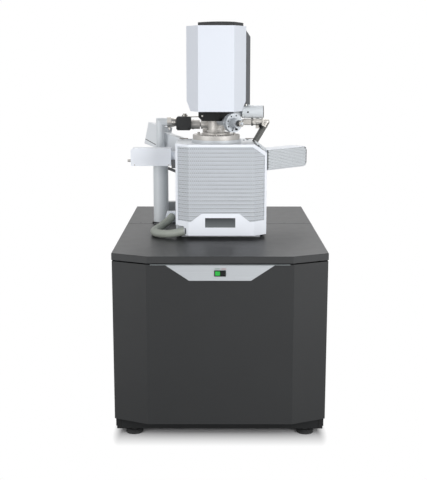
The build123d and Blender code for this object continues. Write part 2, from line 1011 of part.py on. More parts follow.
def column_bolts():
    bolts = []
    for turn in range(bolt_count):
        angle = math.radians(360 / bolt_count * turn - 90)
        x = column_x + bolt_circle * math.cos(angle)
        y = column_y + bolt_circle * math.sin(angle)
        head = rod((x, y, base_high), (0, 0, 1), bolt_radius, bolt_head)
        key = Pos(x, y, base_high + bolt_head / 2) * extrude(RegularPolygon(bolt_radius / 2, 6), bolt_head)
        bolts.append(head - key)
    return group(bolts)


def column_neck():
    shelf = base_high + neck_foot_height
    outline = [(0, base_high), (neck_foot, base_high), (neck_foot, shelf - 2), (neck_foot - 2, shelf),
               (neck_radius + 4, shelf), (neck_radius, shelf + neck_shoulder),
               (neck_radius, neck_top), (0, neck_top)]
    return turned(outline, column_x, column_y)


def black_collar():
    outline = [
        (collar_left + collar_corner, collar_front),
        (collar_right - collar_step, collar_front),
        (collar_right, collar_front + collar_slant),
        (collar_right, collar_back),
        (collar_left, collar_back),
        (collar_left, collar_front + collar_corner),
    ]
    plate = prism(outline, collar_low, collar_high)
    corner = upright([(collar_left - 1, collar_low - 1), (collar_left + 18, collar_low - 1),
                      (collar_left - 1, collar_low + 18)], collar_front - 1, collar_back + 1)
    hole = rod((column_x, column_y, collar_low - 1), (0, 0, 1), neck_radius, collar_high - collar_low + 2)
    notch = block(manifold_left - 0.5, manifold_right + 0.5, manifold_front - 0.5, collar_back + 1,
                  collar_low - 1, manifold_high + 0.3)
    arm = rod((column_x, column_y, aperture_height), aperture_way, aperture_arm + 0.5, aperture_reach)
    return plate - corner - hole - notch - arm


def column_core():
    high = casing_high - 10 * casing_wall
    first = neck_top + core_coil
    second = first + core_gap
    third = second + core_coil
    head_low = high - core_head - core_head_gap
    outline = [(0, neck_top), (core_radius, neck_top), (core_radius, first),
               (core_waist, first), (core_waist, second), (core_radius, second),
               (core_radius, third), (core_waist, third), (core_waist, head_low),
               (core_waist + core_head_step, head_low), (core_waist + core_head_step, head_low + core_head),
               (core_waist - core_head_step, high), (0, high)]
    # Two pads carry the casing's back wall, one on each coil.
    half = core_pad_width / 2
    back = casing_back - casing_wall - core_pad_gap
    pads = [block(column_x - half, column_x + half, column_y, back, low + core_gap, low + 2 * core_gap)
            for low in (neck_top, second)]
    return turned(outline, column_x, column_y) + pads


def casing_plan():
    return [
        (casing_left, casing_back),
        (casing_left, casing_mid),
        (casing_face_left, casing_front),
        (casing_face_right, casing_front),
        (casing_right, casing_mid),
        (casing_right, casing_back),
    ]


def casing_front_outline(inset, low, high):
    return [
        (casing_left + inset, high),
        (casing_left + inset, casing_taper),
        (casing_left + casing_taper_width + inset, low),
        (casing_right - casing_taper_width - inset, low),
        (casing_right - inset, casing_taper),
        (casing_right - inset, high),
    ]


def column_casing():
    outer = prism(casing_plan(), casing_low, casing_high)
    outer &= upright(casing_front_outline(0, casing_low, casing_high), casing_front, casing_back)
    inner = prism(beside(casing_plan(), casing_wall), casing_low - 1, casing_high - casing_wall)
    inner &= upright(casing_front_outline(casing_wall, casing_low - 1, casing_high), casing_front,
                     casing_back - casing_wall)
    return outer - inner


def column_cap():
    plan = [(casing_face_left, casing_back), (casing_face_left, casing_front + cap_inset),
            (casing_face_right, casing_front + cap_inset), (cap_right, cap_turn), (cap_right, casing_back)]
    middle = (casing_face_left + cap_right) / 2
    half = (cap_right - casing_face_left) / 2
    radius = (half ** 2 + cap_rise ** 2) / (2 * cap_rise)
    body = prism(plan, casing_high, casing_high + cap_height)
    dome = rod((middle, casing_front - 1, casing_high + cap_height - radius), (0, 1, 0), radius,
               casing_back - casing_front + 2)
    return body & dome


def column_spine():
    outline = [(spine_left, spine_low), (spine_right, spine_low), (spine_right, spine_high - spine_slope),
               (spine_right - spine_slope_width, spine_high), (spine_left, spine_high)]
    return upright(outline, casing_back, spine_back)


def pump_post():
    foot = table_height - table_thickness - post_drop
    ring = table_height + post_gap
    outline = [(0, foot), (post_flange, foot), (post_flange, foot + 12), (post_radius, foot + 12),
               (post_radius, ring), (post_flange, ring), (post_flange, ring + post_ring),
               (post_radius, ring + post_ring), (post_radius, post_joint - 12),
               (post_flange, post_joint - 12), (post_flange, post_joint + 2),
               (line_radius + 2, post_joint + 18), (line_radius, post_joint + 26),
               (line_radius, line_height - line_radius - 1), (0, line_height - line_radius - 1)]
    lower = turned(outline, post_x, post_y)
    reach = 3 * line_radius
    stem = rod((post_x, post_y, line_height - line_radius - 1), (0, 0, 1), line_radius, reach)
    arm = rod((elbow_end, post_y, line_height), (-1, 0, 0), line_radius, elbow_end - post_x + reach)
    mitre = Plane(origin=(post_x, post_y, line_height), x_dir=(0, 1, 0), z_dir=(1, 0, 1))
    upper = split(arm, mitre, keep=Keep.TOP)
    return lower + split(stem, mitre, keep=Keep.BOTTOM) + upper


def line_clamp_ring():
    band = rod((elbow_end, post_y, line_height), (1, 0, 0), line_clamp, 20)
    cone = Plane(origin=(elbow_end + 20, post_y, line_height), z_dir=(1, 0, 0)) * Cone(
        line_clamp - 3, line_radius, valve_left - elbow_end - 20,
        align=(Align.CENTER, Align.CENTER, Align.MIN))
    bolt = rod((elbow_end + 10, post_y - 14, line_height - line_clamp - 8), (0, 0, 1), 4, 12)
    return band + cone + bolt


def valve_block():
    half = valve_width / 2
    body = block(valve_left, valve_right, post_y - half, post_y + half, valve_low, valve_high)
    body = chamfer(body.edges().filter_by(Axis.Y), 7)
    middle = (valve_left + valve_right) / 2 + 5
    top = rod((middle, post_y, valve_high - 1), (0, 0, 1), 14, 9)
    fitting = rod((middle, post_y, valve_high + 8), (0, 0, 1), 9, 6)
    return body + top + fitting


def valve_pipe():
    start = (valve_right, post_y, outlet_height)
    length = manifold_left - valve_right - port_flange_thickness
    pipe = rod(start, (1, 0, 0), outlet_radius, outlet_length)
    waist = rod((valve_right + 6, post_y, outlet_height), (1, 0, 0), outlet_radius + 2, 8)
    neck = rod(start, (1, 0, 0), outlet_neck, length + 1)
    flange = rod((valve_right + length, post_y, outlet_height), (1, 0, 0), port_flange_radius,
                 port_flange_thickness)
    return pipe + waist + neck + flange


def pump_manifold():
    body = block(manifold_left, manifold_right, manifold_front, post_y + valve_width / 2,
                 manifold_low, manifold_high)
    middle = (manifold_left + manifold_right) / 2
    spigot = rod((middle, column_y, line_height), (0, 1, 0), 24, manifold_front - column_y + 1)
    return body + spigot - column_neck()


def aperture_point(reach):
    return Vector(column_x, column_y, aperture_height) + aperture_way * reach


def aperture_disc():
    # The arm, the drum behind the disc with its ring flange, the disc and the boss, all on one axis.
    front = aperture_reach - aperture_thickness
    ring = front - aperture_drum_length
    end = aperture_reach + aperture_boss_length
    arm = rod(aperture_point(neck_radius - 10), aperture_way, aperture_arm, ring - neck_radius + 10)
    flange = rod(aperture_point(ring), aperture_way, aperture_ring, aperture_thickness)
    drum = rod(aperture_point(ring), aperture_way, aperture_drum, aperture_drum_length)
    disc = rod(aperture_point(front), aperture_way, aperture_radius, aperture_thickness)
    boss = rod(aperture_point(aperture_reach), aperture_way, aperture_boss, aperture_boss_length)
    bore = rod(aperture_point(end - 14), aperture_way, knob_stem + knob_gap, 15)
    side = aperture_point(aperture_reach + aperture_boss_length / 2)
    side_bore = rod((side.X, side.Y, side.Z - aperture_boss - 1), (0, 0, 1), knob_stem / 2 + knob_gap, 9)
    return arm + flange + drum + disc + boss - column_neck() - bore - side_bore


def aperture_knob():
    end = aperture_reach + aperture_boss_length
    stem = rod(aperture_point(end - 12), aperture_way, knob_stem, 12 + stage_gap)
    neck = rod(aperture_point(end + stage_gap), aperture_way, knob_radius - 3, 6)
    grip = rod(aperture_point(end + stage_gap + 6), aperture_way, knob_radius, knob_length - 6)
    return stem + neck + chamfer(grip.edges(), 1)


def aperture_side_knob():
    side = aperture_point(aperture_reach + aperture_boss_length / 2)
    top = side.Z - aperture_boss - stage_gap
    stem = rod((side.X, side.Y, top), (0, 0, 1), knob_stem / 2, 7)
    grip = rod((side.X, side.Y, top - side_knob_length), (0, 0, 1), side_knob_radius, side_knob_length)
    return stem + chamfer(grip.edges(), 0.8)


def pump_cylinder():
    body = rod((cylinder_left, cylinder_y, cylinder_height), (1, 0, 0), cylinder_radius,
               cylinder_right - cylinder_left)
    body = fillet(body.edges().filter_by(GeomType.CIRCLE), 3)
    spigot = rod((collar_right, cylinder_y, cylinder_height - 12), (1, 0, 0), 14,
                 cylinder_left - collar_right + 1)
    cap = rod((cylinder_left + 34, cylinder_y, cylinder_height + cylinder_radius - 2), (0, 0, 1), 7, 7)
    return body + spigot + cap


def side_pipe():
    pipe = rod((manifold_right, pipe_y, pipe_height), (1, 0, 0), pipe_radius - 3,
               clamp_left - manifold_right)
    sleeve = block(clamp_left - sleeve_length, clamp_left, pipe_y - pipe_radius, pipe_y + pipe_radius,
                   pipe_height - pipe_radius, pipe_height + pipe_radius)
    sleeve = chamfer(sleeve.edges().filter_by(Axis.X), 4)
    return pipe + sleeve


def pipe_clamp():
    ring = rod((clamp_left, pipe_y, pipe_height), (1, 0, 0), clamp_radius, clamp_width)
    lug = block(clamp_left, clamp_left + clamp_width, pipe_y - 7, pipe_y + 7,
                pipe_height - clamp_drop, pipe_height - clamp_radius + 4)
    wing = rod((clamp_left + clamp_width / 2, pipe_y, pipe_height - clamp_drop + 6), (0, -1, 0), 5, 22)
    return ring + lug + wing


def hose_point(along):
    return Vector(pipe_turn, pipe_y, pipe_height) + hose_way * along


def pipe_elbow():
    run = rod((clamp_left + clamp_width, pipe_y, pipe_height), (1, 0, 0), pipe_radius,
              pipe_turn - clamp_left - clamp_width)
    ball = Pos(pipe_turn, pipe_y, pipe_height) * Sphere(pipe_radius)
    stub = rod(hose_point(0), hose_way, pipe_radius, elbow_stub)
    cuff = rod(hose_point(elbow_stub - 6), hose_way, pipe_radius + 2, 6)
    return run + ball + stub + cuff


def bent_hose():
    # A straight ribbed hose that ends flush on the chamber's slanted face.
    out = Vector(chamfer_height, 0, chamfer_width).normalized()
    edge = Vector(chamber_right - chamfer_width, pipe_y, chamber_top)
    length = (edge - hose_point(0)).dot(out) / hose_way.dot(out) - elbow_stub
    body = rod(hose_point(elbow_stub), hose_way, bent_hose_radius, length + 2 * bent_hose_radius)
    pitch = length / bent_hose_ribs
    for rib in range(bent_hose_ribs):
        body += rod(hose_point(elbow_stub + (rib + 0.3) * pitch), hose_way, bent_hose_radius + bent_hose_rib,
                    0.5 * pitch)
    return body - chamber_block()


def left_detector_port():
    middle_y = left_box_front + left_box_depth / 2
    middle_z = (left_box_low + left_box_high) / 2
    tube_body = rod((left_box_right, middle_y, middle_z), (1, 0, 0), left_port_radius - 8,
                    chamber_left - left_box_right)
    flange = rod((chamber_left - 10, middle_y, middle_z), (1, 0, 0), left_port_radius, 10)
    return tube_body + flange


def left_detector_box():
    box = block(left_box_left, left_box_right, left_box_front, left_box_front + left_box_depth,
                left_box_low, left_box_high)
    corner = [e for e in box.edges().filter_by(Axis.Y) if e.center().X < left_box_left + 1
              and e.center().Z > left_box_high - 1]
    box = chamfer(corner, left_box_corner)
    bore = rod((left_box_left - 1, left_knob_y(), left_knob_z()), (1, 0, 0), 3 + knob_gap, 13)
    return box - bore + left_detector_port()


def left_knob_y():
    return left_box_front + 14


def left_knob_z():
    return left_box_low + 25


def left_detector_knob():
    stem = rod((left_box_left - stage_gap, left_knob_y(), left_knob_z()), (1, 0, 0), 3, 11)
    grip = rod((left_box_left - stage_gap, left_knob_y(), left_knob_z()), (-1, 0, 0),
               left_knob_radius, left_knob_length)
    return stem + chamfer(grip.edges(), 0.8)


def xray_plane(along, offset):
    rise = math.radians(xray_rise)
    turn = math.radians(xray_turn)
    roll = math.radians(xray_roll)
    flat = Vector(-math.cos(turn), math.sin(turn), 0)
    way = flat * math.cos(rise) + Vector(0, 0, math.sin(rise))
    level = flat.cross(Vector(0, 0, 1))
    over = level.cross(way)
    side = level * math.cos(roll) - over * math.sin(roll)
    origin = Vector(column_x, column_y, xray_aim) + way * along + way.cross(side) * offset
    return Plane(origin=origin, x_dir=side, z_dir=way)


def xray_port():
    # The duct ends on the chamber's slanted corner, with a round flange there.
    flat = Vector(-math.sqrt(0.5), math.sqrt(0.5), 0)
    wall = chamber_back - left_corner - chamber_left
    centre = xray_plane(0, 0)
    reach = (wall - (centre.origin.Y - centre.origin.X)) / math.sqrt(2) / centre.z_dir.dot(flat)
    flange = rod(xray_plane(reach, 0).origin, flat, xray_flange, xray_flange_thickness)
    height = xray_duct_high - xray_duct_low
    duct = Box(xray_duct_width, height, xray_box_start - reach / 2,
               align=(Align.CENTER, Align.CENTER, Align.MAX))
    duct = xray_plane(xray_box_start, (xray_duct_low + xray_duct_high) / 2) * duct
    return flange + duct - chamber_prism(2 * chamber_top)


def xray_detector():
    length = xray_box_end - xray_box_start
    height = xray_box_high - xray_box_low
    box = Box(xray_box_width, height, length, align=(Align.CENTER, Align.CENTER, Align.MIN))
    box = fillet(box.edges().filter_by(Axis.Z), 4)
    groove = Pos(0, xray_slot - height / 2, length / 2) * (
        Box(2 * xray_box_width, xray_slot_width, 2 * length)
        - Box(xray_box_width - 2 * xray_slot_depth, xray_slot_width, 3 * length))
    return xray_plane(xray_box_start, (xray_box_low + xray_box_high) / 2) * (box - groove) + xray_port()


def housing_plane(along, z):
    flat = Vector(math.sqrt(0.5), math.sqrt(0.5), 0)
    origin = Vector(column_x, column_y, z) + flat * along
    return Plane(origin=origin, x_dir=(math.sqrt(0.5), -math.sqrt(0.5), 0), z_dir=flat)


def right_detector_port():
    middle = (housing_low + housing_high) / 2
    wall = chamber_back - right_corner + chamber_right
    start = (wall - column_x - column_y) / math.sqrt(2)
    plane = housing_plane(start, middle)
    flange = plane * Cylinder(housing_flange, 12, align=(Align.CENTER, Align.CENTER, Align.MIN))
    neck = plane * Cylinder(housing_flange - 14, housing_start - start,
                            align=(Align.CENTER, Align.CENTER, Align.MIN))
    return flange + neck


def right_detector_housing():
    middle = (housing_low + housing_high) / 2
    box = Box(housing_width, housing_high - housing_low, housing_length,
              align=(Align.CENTER, Align.CENTER, Align.MIN))
    far = box.faces().sort_by(Axis.Z)[-1]
    box = fillet(far.edges().filter_by(Axis.X), housing_round)
    box = fillet(box.edges().filter_by(Axis.Z), 5)
    grooves = []
    for i in range(housing_grooves):
        z = 40 + i * (housing_length - 90) / (housing_grooves - 1)
        grooves.append(Pos(housing_width / 2, 0, z)
                       * Box(3, housing_high - housing_low - 40, housing_groove))
    return housing_plane(housing_start, middle) * (box - grooves) + right_detector_port()


def chamfer_port_plate():
    slope = math.atan(chamfer_height / chamfer_width)
    middle_x = chamber_right - chamfer_width / 2
    middle_z = chamber_top - chamfer_height / 2
    y = (shelf_plate_front + shelf_plate_back) / 2
    plane = Plane(origin=(middle_x, y, middle_z), x_dir=(math.cos(slope), 0, -math.sin(slope)),
                  z_dir=(math.sin(slope), 0, math.cos(slope)))
    depth = shelf_plate_back - shelf_plate_front
    plate = Pos(0, 0, shelf_plate_off + shelf_plate / 2) * Box(shelf_plate_length, depth, shelf_plate)
    stands = [Pos(0, y, shelf_plate_off / 2) * Cylinder(6, shelf_plate_off) for y in (-depth / 3, depth / 3)]
    return plane * (plate + stands)


def hose_block():
    body = block(hose_block_left, chamber_left, hose_block_front, hose_block_back,
                 hose_block_low, hose_block_high)
    return fillet(body.edges().filter_by(Axis.Y).group_by(Axis.X)[0], 5)


def service_hose():
    points = [Vector(*p) for p in hose_points]
    radii = []
    for a, b, c in zip(points, points[1:], points[2:]):
        turn = math.radians((b - a).get_angle(c - b))
        shorter = min((b - a).length, (c - b).length)
        radii.append(bend_share * shorter / math.tan(turn / 2))
    path = FilletPolyline(*points, radius=radii)
    tube_body = sweep(Plane(origin=path @ 0, z_dir=path % 0) * Circle(hose_diameter / 2), path)
    section = math.pi * hose_diameter ** 2 / 4
    print("hose radii", [round(r) for r in radii], "length", round(path.length, 1),
          "volume ratio", round(tube_body.volume / (section * path.length), 4))
    return tube_body


pieces = {
    "levelling_feet": levelling_feet,
    "base_tray": base_tray,
    "corner_posts": corner_posts,
    "top_rails": top_rails,
    "front_cover": front_cover,
    "left_side_cover": lambda: side_cover(-1),
    "right_side_cover": lambda: side_cover(1),
    "rear_cover": rear_cover,
    "front_table_plate": front_table_plate,
    "rear_table_plate": rear_table_plate,
    "table_screws": table_screws,
    "inlay_plate": inlay_plate,
    "switch_bezel": switch_bezel,
    "power_on_button": lambda: push_button(-1),
    "standby_button": lambda: push_button(1),
    "isolation_mounts": isolation_mounts,
    "platform_plate": platform_plate,
    "turbo_pump": turbo_pump,
    "control_rack": control_rack,
    "chamber_body": chamber_body,
    "left_detector_box": left_detector_box,
    "left_detector_knob": left_detector_knob,
    "xray_detector": xray_detector,
    "right_detector_housing": right_detector_housing,
    "chamfer_port_plate": chamfer_port_plate,
    "hose_block": hose_block,
    "door_plate": door_plate,
    "door_cover": door_cover,
    "door_grille": door_grille,
    "display_window": display_window,
    "door_seal": door_seal,
    "door_guides": door_guides,
    "stage_cradle": stage_cradle,
    "stage_lift": stage_lift,
    "slide_x_table": slide_x_table,
    "slide_y_table": slide_y_table,
    "specimen_holder": specimen_holder,
    "specimen_stub": specimen_stub,
    "objective_lens": objective_lens,
    "column_base": column_base,
    "column_bolts": column_bolts,
    "column_neck": column_neck,
    "black_collar": black_collar,
    "column_core": column_core,
    "column_casing": column_casing,
    "column_cap": column_cap,
    "column_spine": column_spine,
    "pump_post": pump_post,
    "clamp_rings": lambda: group([line_clamp_ring(), pipe_clamp()]),
    "valve_block": valve_block,
    "valve_pipe": valve_pipe,
    "pump_manifold": pump_manifold,
    "aperture_disc": aperture_disc,
    "aperture_knob": aperture_knob,
    "aperture_side_knob": aperture_side_knob,
    "pump_cylinder": pump_cylinder,
    "side_pipe": side_pipe,
    "pipe_elbow": pipe_elbow,
    "bent_hose": bent_hose,
    "service_hose": service_hose,
}

os.makedirs("parts", exist_ok=True)
for name, make in pieces.items():
    export_step(make(), f"parts/{name}.step")
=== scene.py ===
import math
import bpy
import numpy as np
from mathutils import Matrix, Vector


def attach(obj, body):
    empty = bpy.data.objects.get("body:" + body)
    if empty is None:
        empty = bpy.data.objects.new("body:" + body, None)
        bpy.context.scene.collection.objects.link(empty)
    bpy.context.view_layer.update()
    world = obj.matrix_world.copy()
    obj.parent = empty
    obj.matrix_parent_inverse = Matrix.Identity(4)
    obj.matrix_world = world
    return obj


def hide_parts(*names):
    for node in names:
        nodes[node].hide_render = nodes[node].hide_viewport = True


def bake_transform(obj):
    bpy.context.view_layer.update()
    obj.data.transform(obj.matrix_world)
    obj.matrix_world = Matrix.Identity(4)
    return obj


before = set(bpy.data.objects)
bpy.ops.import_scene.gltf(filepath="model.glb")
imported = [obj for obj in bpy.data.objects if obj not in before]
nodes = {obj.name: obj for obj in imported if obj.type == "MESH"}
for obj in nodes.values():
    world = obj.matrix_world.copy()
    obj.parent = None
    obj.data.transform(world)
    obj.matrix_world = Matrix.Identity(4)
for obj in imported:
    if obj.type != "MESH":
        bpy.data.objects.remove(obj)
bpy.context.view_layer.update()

mm = 0.001  # places and sizes are written in mm, meshes are in metres
rightWay, backWay, upWay = np.eye(3)
columnAxis = (-16.5, -119)  # plan point of the column in mm


def linear(color):
    # Screen colour in 0-255 to the linear colour that a shader takes.
    c = np.array(color, float) / 255
    return tuple(float(v) for v in np.where(c <= 0.04045, c / 12.92, ((c + 0.055) / 1.055) ** 2.4))


# Camera at the photograph's viewing angle: place in metres, angles in degrees, focal length and
# picture height in pixels.
cameraView = {"place": (-0.0153, -4.554, 1.6275), "down": 10.75, "turn": 0.1856, "focal": 928, "high": 480}


def placeCamera(view):
    # The lens is the focal length over the picture height, times the sensor height.
    data = bpy.data.cameras.new("camera")
    data.sensor_fit = "VERTICAL"
    data.sensor_height = 24
    data.lens = view["focal"] / view["high"] * data.sensor_height
    data.clip_end = 60
    camera = bpy.data.objects.new("camera", data)
    camera.location = view["place"]
    camera.rotation_euler = (math.radians(90 - view["down"]), 0, math.radians(view["turn"]))
    bpy.context.scene.collection.objects.link(camera)
    bpy.context.scene.camera = camera


placeCamera(cameraView)
print("camera placed")


def meshPiece(name, points, faces, body, finish, smooth=True):
    # A mesh from points in metres and faces of point numbers; it rides a body where one is named.
    mesh = bpy.data.meshes.new(name)
    places = np.asarray(points, float).reshape(-1, 3).tolist()
    mesh.from_pydata(places, [], [tuple(map(int, face)) for face in faces])
    mesh.update()
    piece = bpy.data.objects.new(name, mesh)
    bpy.context.scene.collection.objects.link(piece)
    if smooth:
        mesh.polygons.foreach_set("use_smooth", np.ones(len(mesh.polygons), bool))
    mesh.materials.append(finish)
    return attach(piece, body) if body else piece


def tubeFaces(rings, sides):
    # Quads between neighbouring rings of points, then the two end faces, the first one reversed.
    r, c = np.meshgrid(np.arange(rings - 1), np.arange(sides), indexing="ij")
    n = (c + 1) % sides
    quads = np.stack([r * sides + c, r * sides + n, (r + 1) * sides + n, (r + 1) * sides + c], -1)
    ring = np.arange(sides)
    return [*quads.reshape(-1, 4), ring[::-1], (rings - 1) * sides + ring]


# What a finish has where its own entry names nothing else.
usualFinish = {
    "spread": 0.04, "driftScale": 3.0, "driftFrom": 0.3, "driftTo": 0.7, "detail": 3.0,
    "roughSpread": 0.06, "roughScale": 18.0, "leastRough": 0.03, "stretch": (1, 1, 1),
    "bump": 0.0, "bumpScale": 700.0, "bumpHeight": 0.4 * mm, "bumpDetail": 2.0,
    "metallic": 0.0, "specular": 0.5, "coat": 0.0, "coatRoughness": 0.15, "glow": 0.0,
}


def principled(name, own):
    # Base colour drifts by its spread to both sides with a broad noise, roughness by its own spread
    # with a finer one, and a fine noise gives the bump.
    spec = {**usualFinish, **own}
    material = bpy.data.materials.new(name)
    material.use_nodes = True
    tree = material.node_tree
    shader = tree.nodes["Principled BSDF"]
    coords = tree.nodes.new("ShaderNodeTexCoord")
    mapping = tree.nodes.new("ShaderNodeMapping")
    mapping.inputs["Scale"].default_value = spec["stretch"]
    tree.links.new(coords.outputs["Object"], mapping.inputs["Vector"])

    def noise(scale, detail):
        node = tree.nodes.new("ShaderNodeTexNoise")
        node.inputs["Scale"].default_value = scale
        node.inputs["Detail"].default_value = detail
        tree.links.new(mapping.outputs["Vector"], node.inputs["Vector"])
        return node.outputs["Fac"]

    base = np.array(linear(spec["color"]))
    ramp = tree.nodes.new("ShaderNodeValToRGB")
    ramp.color_ramp.elements[0].position = spec["driftFrom"]
    ramp.color_ramp.elements[1].position = spec["driftTo"]
    ramp.color_ramp.elements[0].color = (*(base * (1 - spec["spread"])), 1)
    ramp.color_ramp.elements[1].color = (*np.minimum(base * (1 + spec["spread"]), 1), 1)
    tree.links.new(noise(spec["driftScale"], spec["detail"]), ramp.inputs["Fac"])
    tree.links.new(ramp.outputs["Color"], shader.inputs["Base Color"])
    span = tree.nodes.new("ShaderNodeMapRange")
    span.inputs["To Min"].default_value = max(spec["leastRough"], spec["roughness"] - spec["roughSpread"])
    span.inputs["To Max"].default_value = min(1.0, spec["roughness"] + spec["roughSpread"])
    tree.links.new(noise(spec["roughScale"], spec["detail"]), span.inputs["Value"])
    tree.links.new(span.outputs["Result"], shader.inputs["Roughness"])
    if spec["bump"]:
        bump = tree.nodes.new("ShaderNodeBump")
        bump.inputs["Strength"].default_value = spec["bump"]
        bump.inputs["Distance"].default_value = spec["bumpHeight"]
        tree.links.new(noise(spec["bumpScale"], spec["bumpDetail"]), bump.inputs["Height"])
        tree.links.new(bump.outputs["Normal"], shader.inputs["Normal"])
    shader.inputs["Metallic"].default_value = spec["metallic"]
    shader.inputs["Specular IOR Level"].default_value = spec["specular"]
    shader.inputs["Coat Weight"].default_value = spec["coat"]
    shader.inputs["Coat Roughness"].default_value = spec["coatRoughness"]
    if spec["glow"]:
        shader.inputs["Emission Color"].default_value = (*linear(spec["color"]), 1)
        shader.inputs["Emission Strength"].default_value = spec["glow"]
    return material


# Colours are screen values in 0-255.
finishes = {
    "whitePaint": {"color": (226, 231, 240), "roughness": 0.45, "bump": 0.12, "bumpScale": 900,
                   "spread": 0.012},
    # Lighter copy of the white paint: painted light for the door, the right detector housing and the left
    # detector box.
    "paintedLightWhite": {"color": (240, 244, 251), "roughness": 0.45, "bump": 0.12, "bumpScale": 900,
                  "spread": 0.012},
    "grillePaint": {"color": (203, 208, 214), "roughness": 0.5, "spread": 0.02},
    "housingPaint": {"color": (220, 225, 229), "roughness": 0.5, "spread": 0.02},
    "plateShade": {"color": (168, 171, 174), "roughness": 0.6, "spread": 0.03},
    "cylinderPaint": {"color": (232, 237, 241), "roughness": 0.4, "bump": 0.1, "spread": 0.015},
    "darkSteel": {"color": (140, 138, 134), "roughness": 0.3, "metallic": 0.9, "spread": 0.06},
    "agedStrip": {"color": (150, 141, 132), "roughness": 0.5, "spread": 0.08},
    "slitShade": {"color": (12, 12, 12), "roughness": 0.9, "spread": 0.05},
    "holeShade": {"color": (96, 99, 102), "roughness": 0.8, "spread": 0.05},
    "tablePaint": {"color": (48, 49, 50), "roughness": 0.4, "roughSpread": 0.03, "specular": 0.22,
                   "bump": 0.2, "bumpScale": 650},
    # Lighter copy of the table paint for the table's upright edge: painted light.
    "paintedEdgeLight": {"color": (59, 60, 61), "roughness": 0.5, "specular": 0.22, "bump": 0.2},
    "coverPaint": {"color": (46, 47, 48), "roughness": 0.55, "specular": 0.3, "bump": 0.3,
                   "bumpScale": 800},
    "framePaint": {"color": (30, 31, 32), "roughness": 0.6, "specular": 0.25, "bump": 0.3, "spread": 0.06},
    "rearShade": {"color": (176, 178, 180), "roughness": 0.5},
    "stripPaint": {"color": (120, 126, 128), "roughness": 0.4},
    "darkPlastic": {"color": (27, 28, 29), "roughness": 0.45, "specular": 0.2, "bump": 0.25,
                    "bumpScale": 1100, "spread": 0.06},
    "capPlastic": {"color": (52, 53, 54), "roughness": 0.5, "specular": 0.3, "bump": 0.2, "spread": 0.05},
    "spinePlastic": {"color": (96, 97, 99), "roughness": 0.5, "bump": 0.2},
    "machined": {"color": (186, 183, 179), "roughness": 0.5, "metallic": 0.65, "bump": 0.1,
                 "bumpScale": 300, "stretch": (1, 1, 12)},
    "discPaint": {"color": (176, 181, 186), "roughness": 0.36, "metallic": 0.3, "spread": 0.03},
    "castPlate": {"color": (206, 210, 214), "roughness": 0.45, "metallic": 0.2, "bump": 0.15,
                  "spread": 0.03},
    "brightSteel": {"color": (200, 197, 192), "roughness": 0.32, "metallic": 1.0},
    "brushedInlay": {"color": (186, 190, 194), "roughness": 0.5, "metallic": 0.3, "bump": 0.2,
                     "bumpScale": 260, "stretch": (0.05, 1, 6), "driftScale": 40},
    "detectorPaint": {"color": (232, 236, 240), "roughness": 0.4, "bump": 0.1, "spread": 0.02},
    "greyPaint": {"color": (216, 221, 225), "roughness": 0.38, "bump": 0.1, "spread": 0.02},
    "valvePaint": {"color": (54, 55, 56), "roughness": 0.4, "specular": 0.3, "bump": 0.2, "spread": 0.06},
    "lensGreen": {"color": (44, 170, 66), "roughness": 0.25, "coat": 0.5, "glow": 0.1, "spread": 0.25,
                  "driftScale": 90},
    "legendGreen": {"color": (70, 130, 90), "roughness": 0.6, "spread": 0.05},
    "legendRed": {"color": (170, 80, 80), "roughness": 0.6, "spread": 0.05},
    "blackRubber": {"color": (30, 31, 32), "roughness": 0.7, "bump": 0.3, "spread": 0.08},
    "hoseDark": {"color": (108, 109, 106), "roughness": 0.55, "bump": 0.3, "spread": 0.06},
    "hoseGrey": {"color": (156, 161, 153), "roughness": 0.42, "bump": 0.2, "driftScale": 12},
}
made = {name: principled(name, spec) for name, spec in finishes.items()}

# Window with painted shade of its recess: dark towards the top, lighter towards its lower edge.
windowGlass = {"low": 884 * mm, "high": 924 * mm, "dark": (62, 66, 68), "light": (112, 117, 119),
               "roughness": 0.25, "coat": 0.2, "specular": 0.4}


def windowPaintedShade(spec):
    # Colour runs evenly from light at height low to dark at height high: painted shade.
    material = principled("windowGlass", {**spec, "color": spec["dark"]})
    tree = material.node_tree
    coords = tree.nodes.new("ShaderNodeTexCoord")
    apart = tree.nodes.new("ShaderNodeSeparateXYZ")
    span = tree.nodes.new("ShaderNodeMapRange")
    ramp = tree.nodes.new("ShaderNodeValToRGB")
    span.inputs["From Min"].default_value = spec["low"]
    span.inputs["From Max"].default_value = spec["high"]
    ramp.color_ramp.elements[0].color = (*linear(spec["light"]), 1)
    ramp.color_ramp.elements[1].color = (*linear(spec["dark"]), 1)
    tree.links.new(coords.outputs["Object"], apart.inputs[0])
    tree.links.new(apart.outputs["Z"], span.inputs["Value"])
    tree.links.new(span.outputs["Result"], ramp.inputs["Fac"])
    tree.links.new(ramp.outputs["Color"], tree.nodes["Principled BSDF"].inputs["Base Color"])
    return material


made["windowGlass"] = windowPaintedShade(windowGlass)

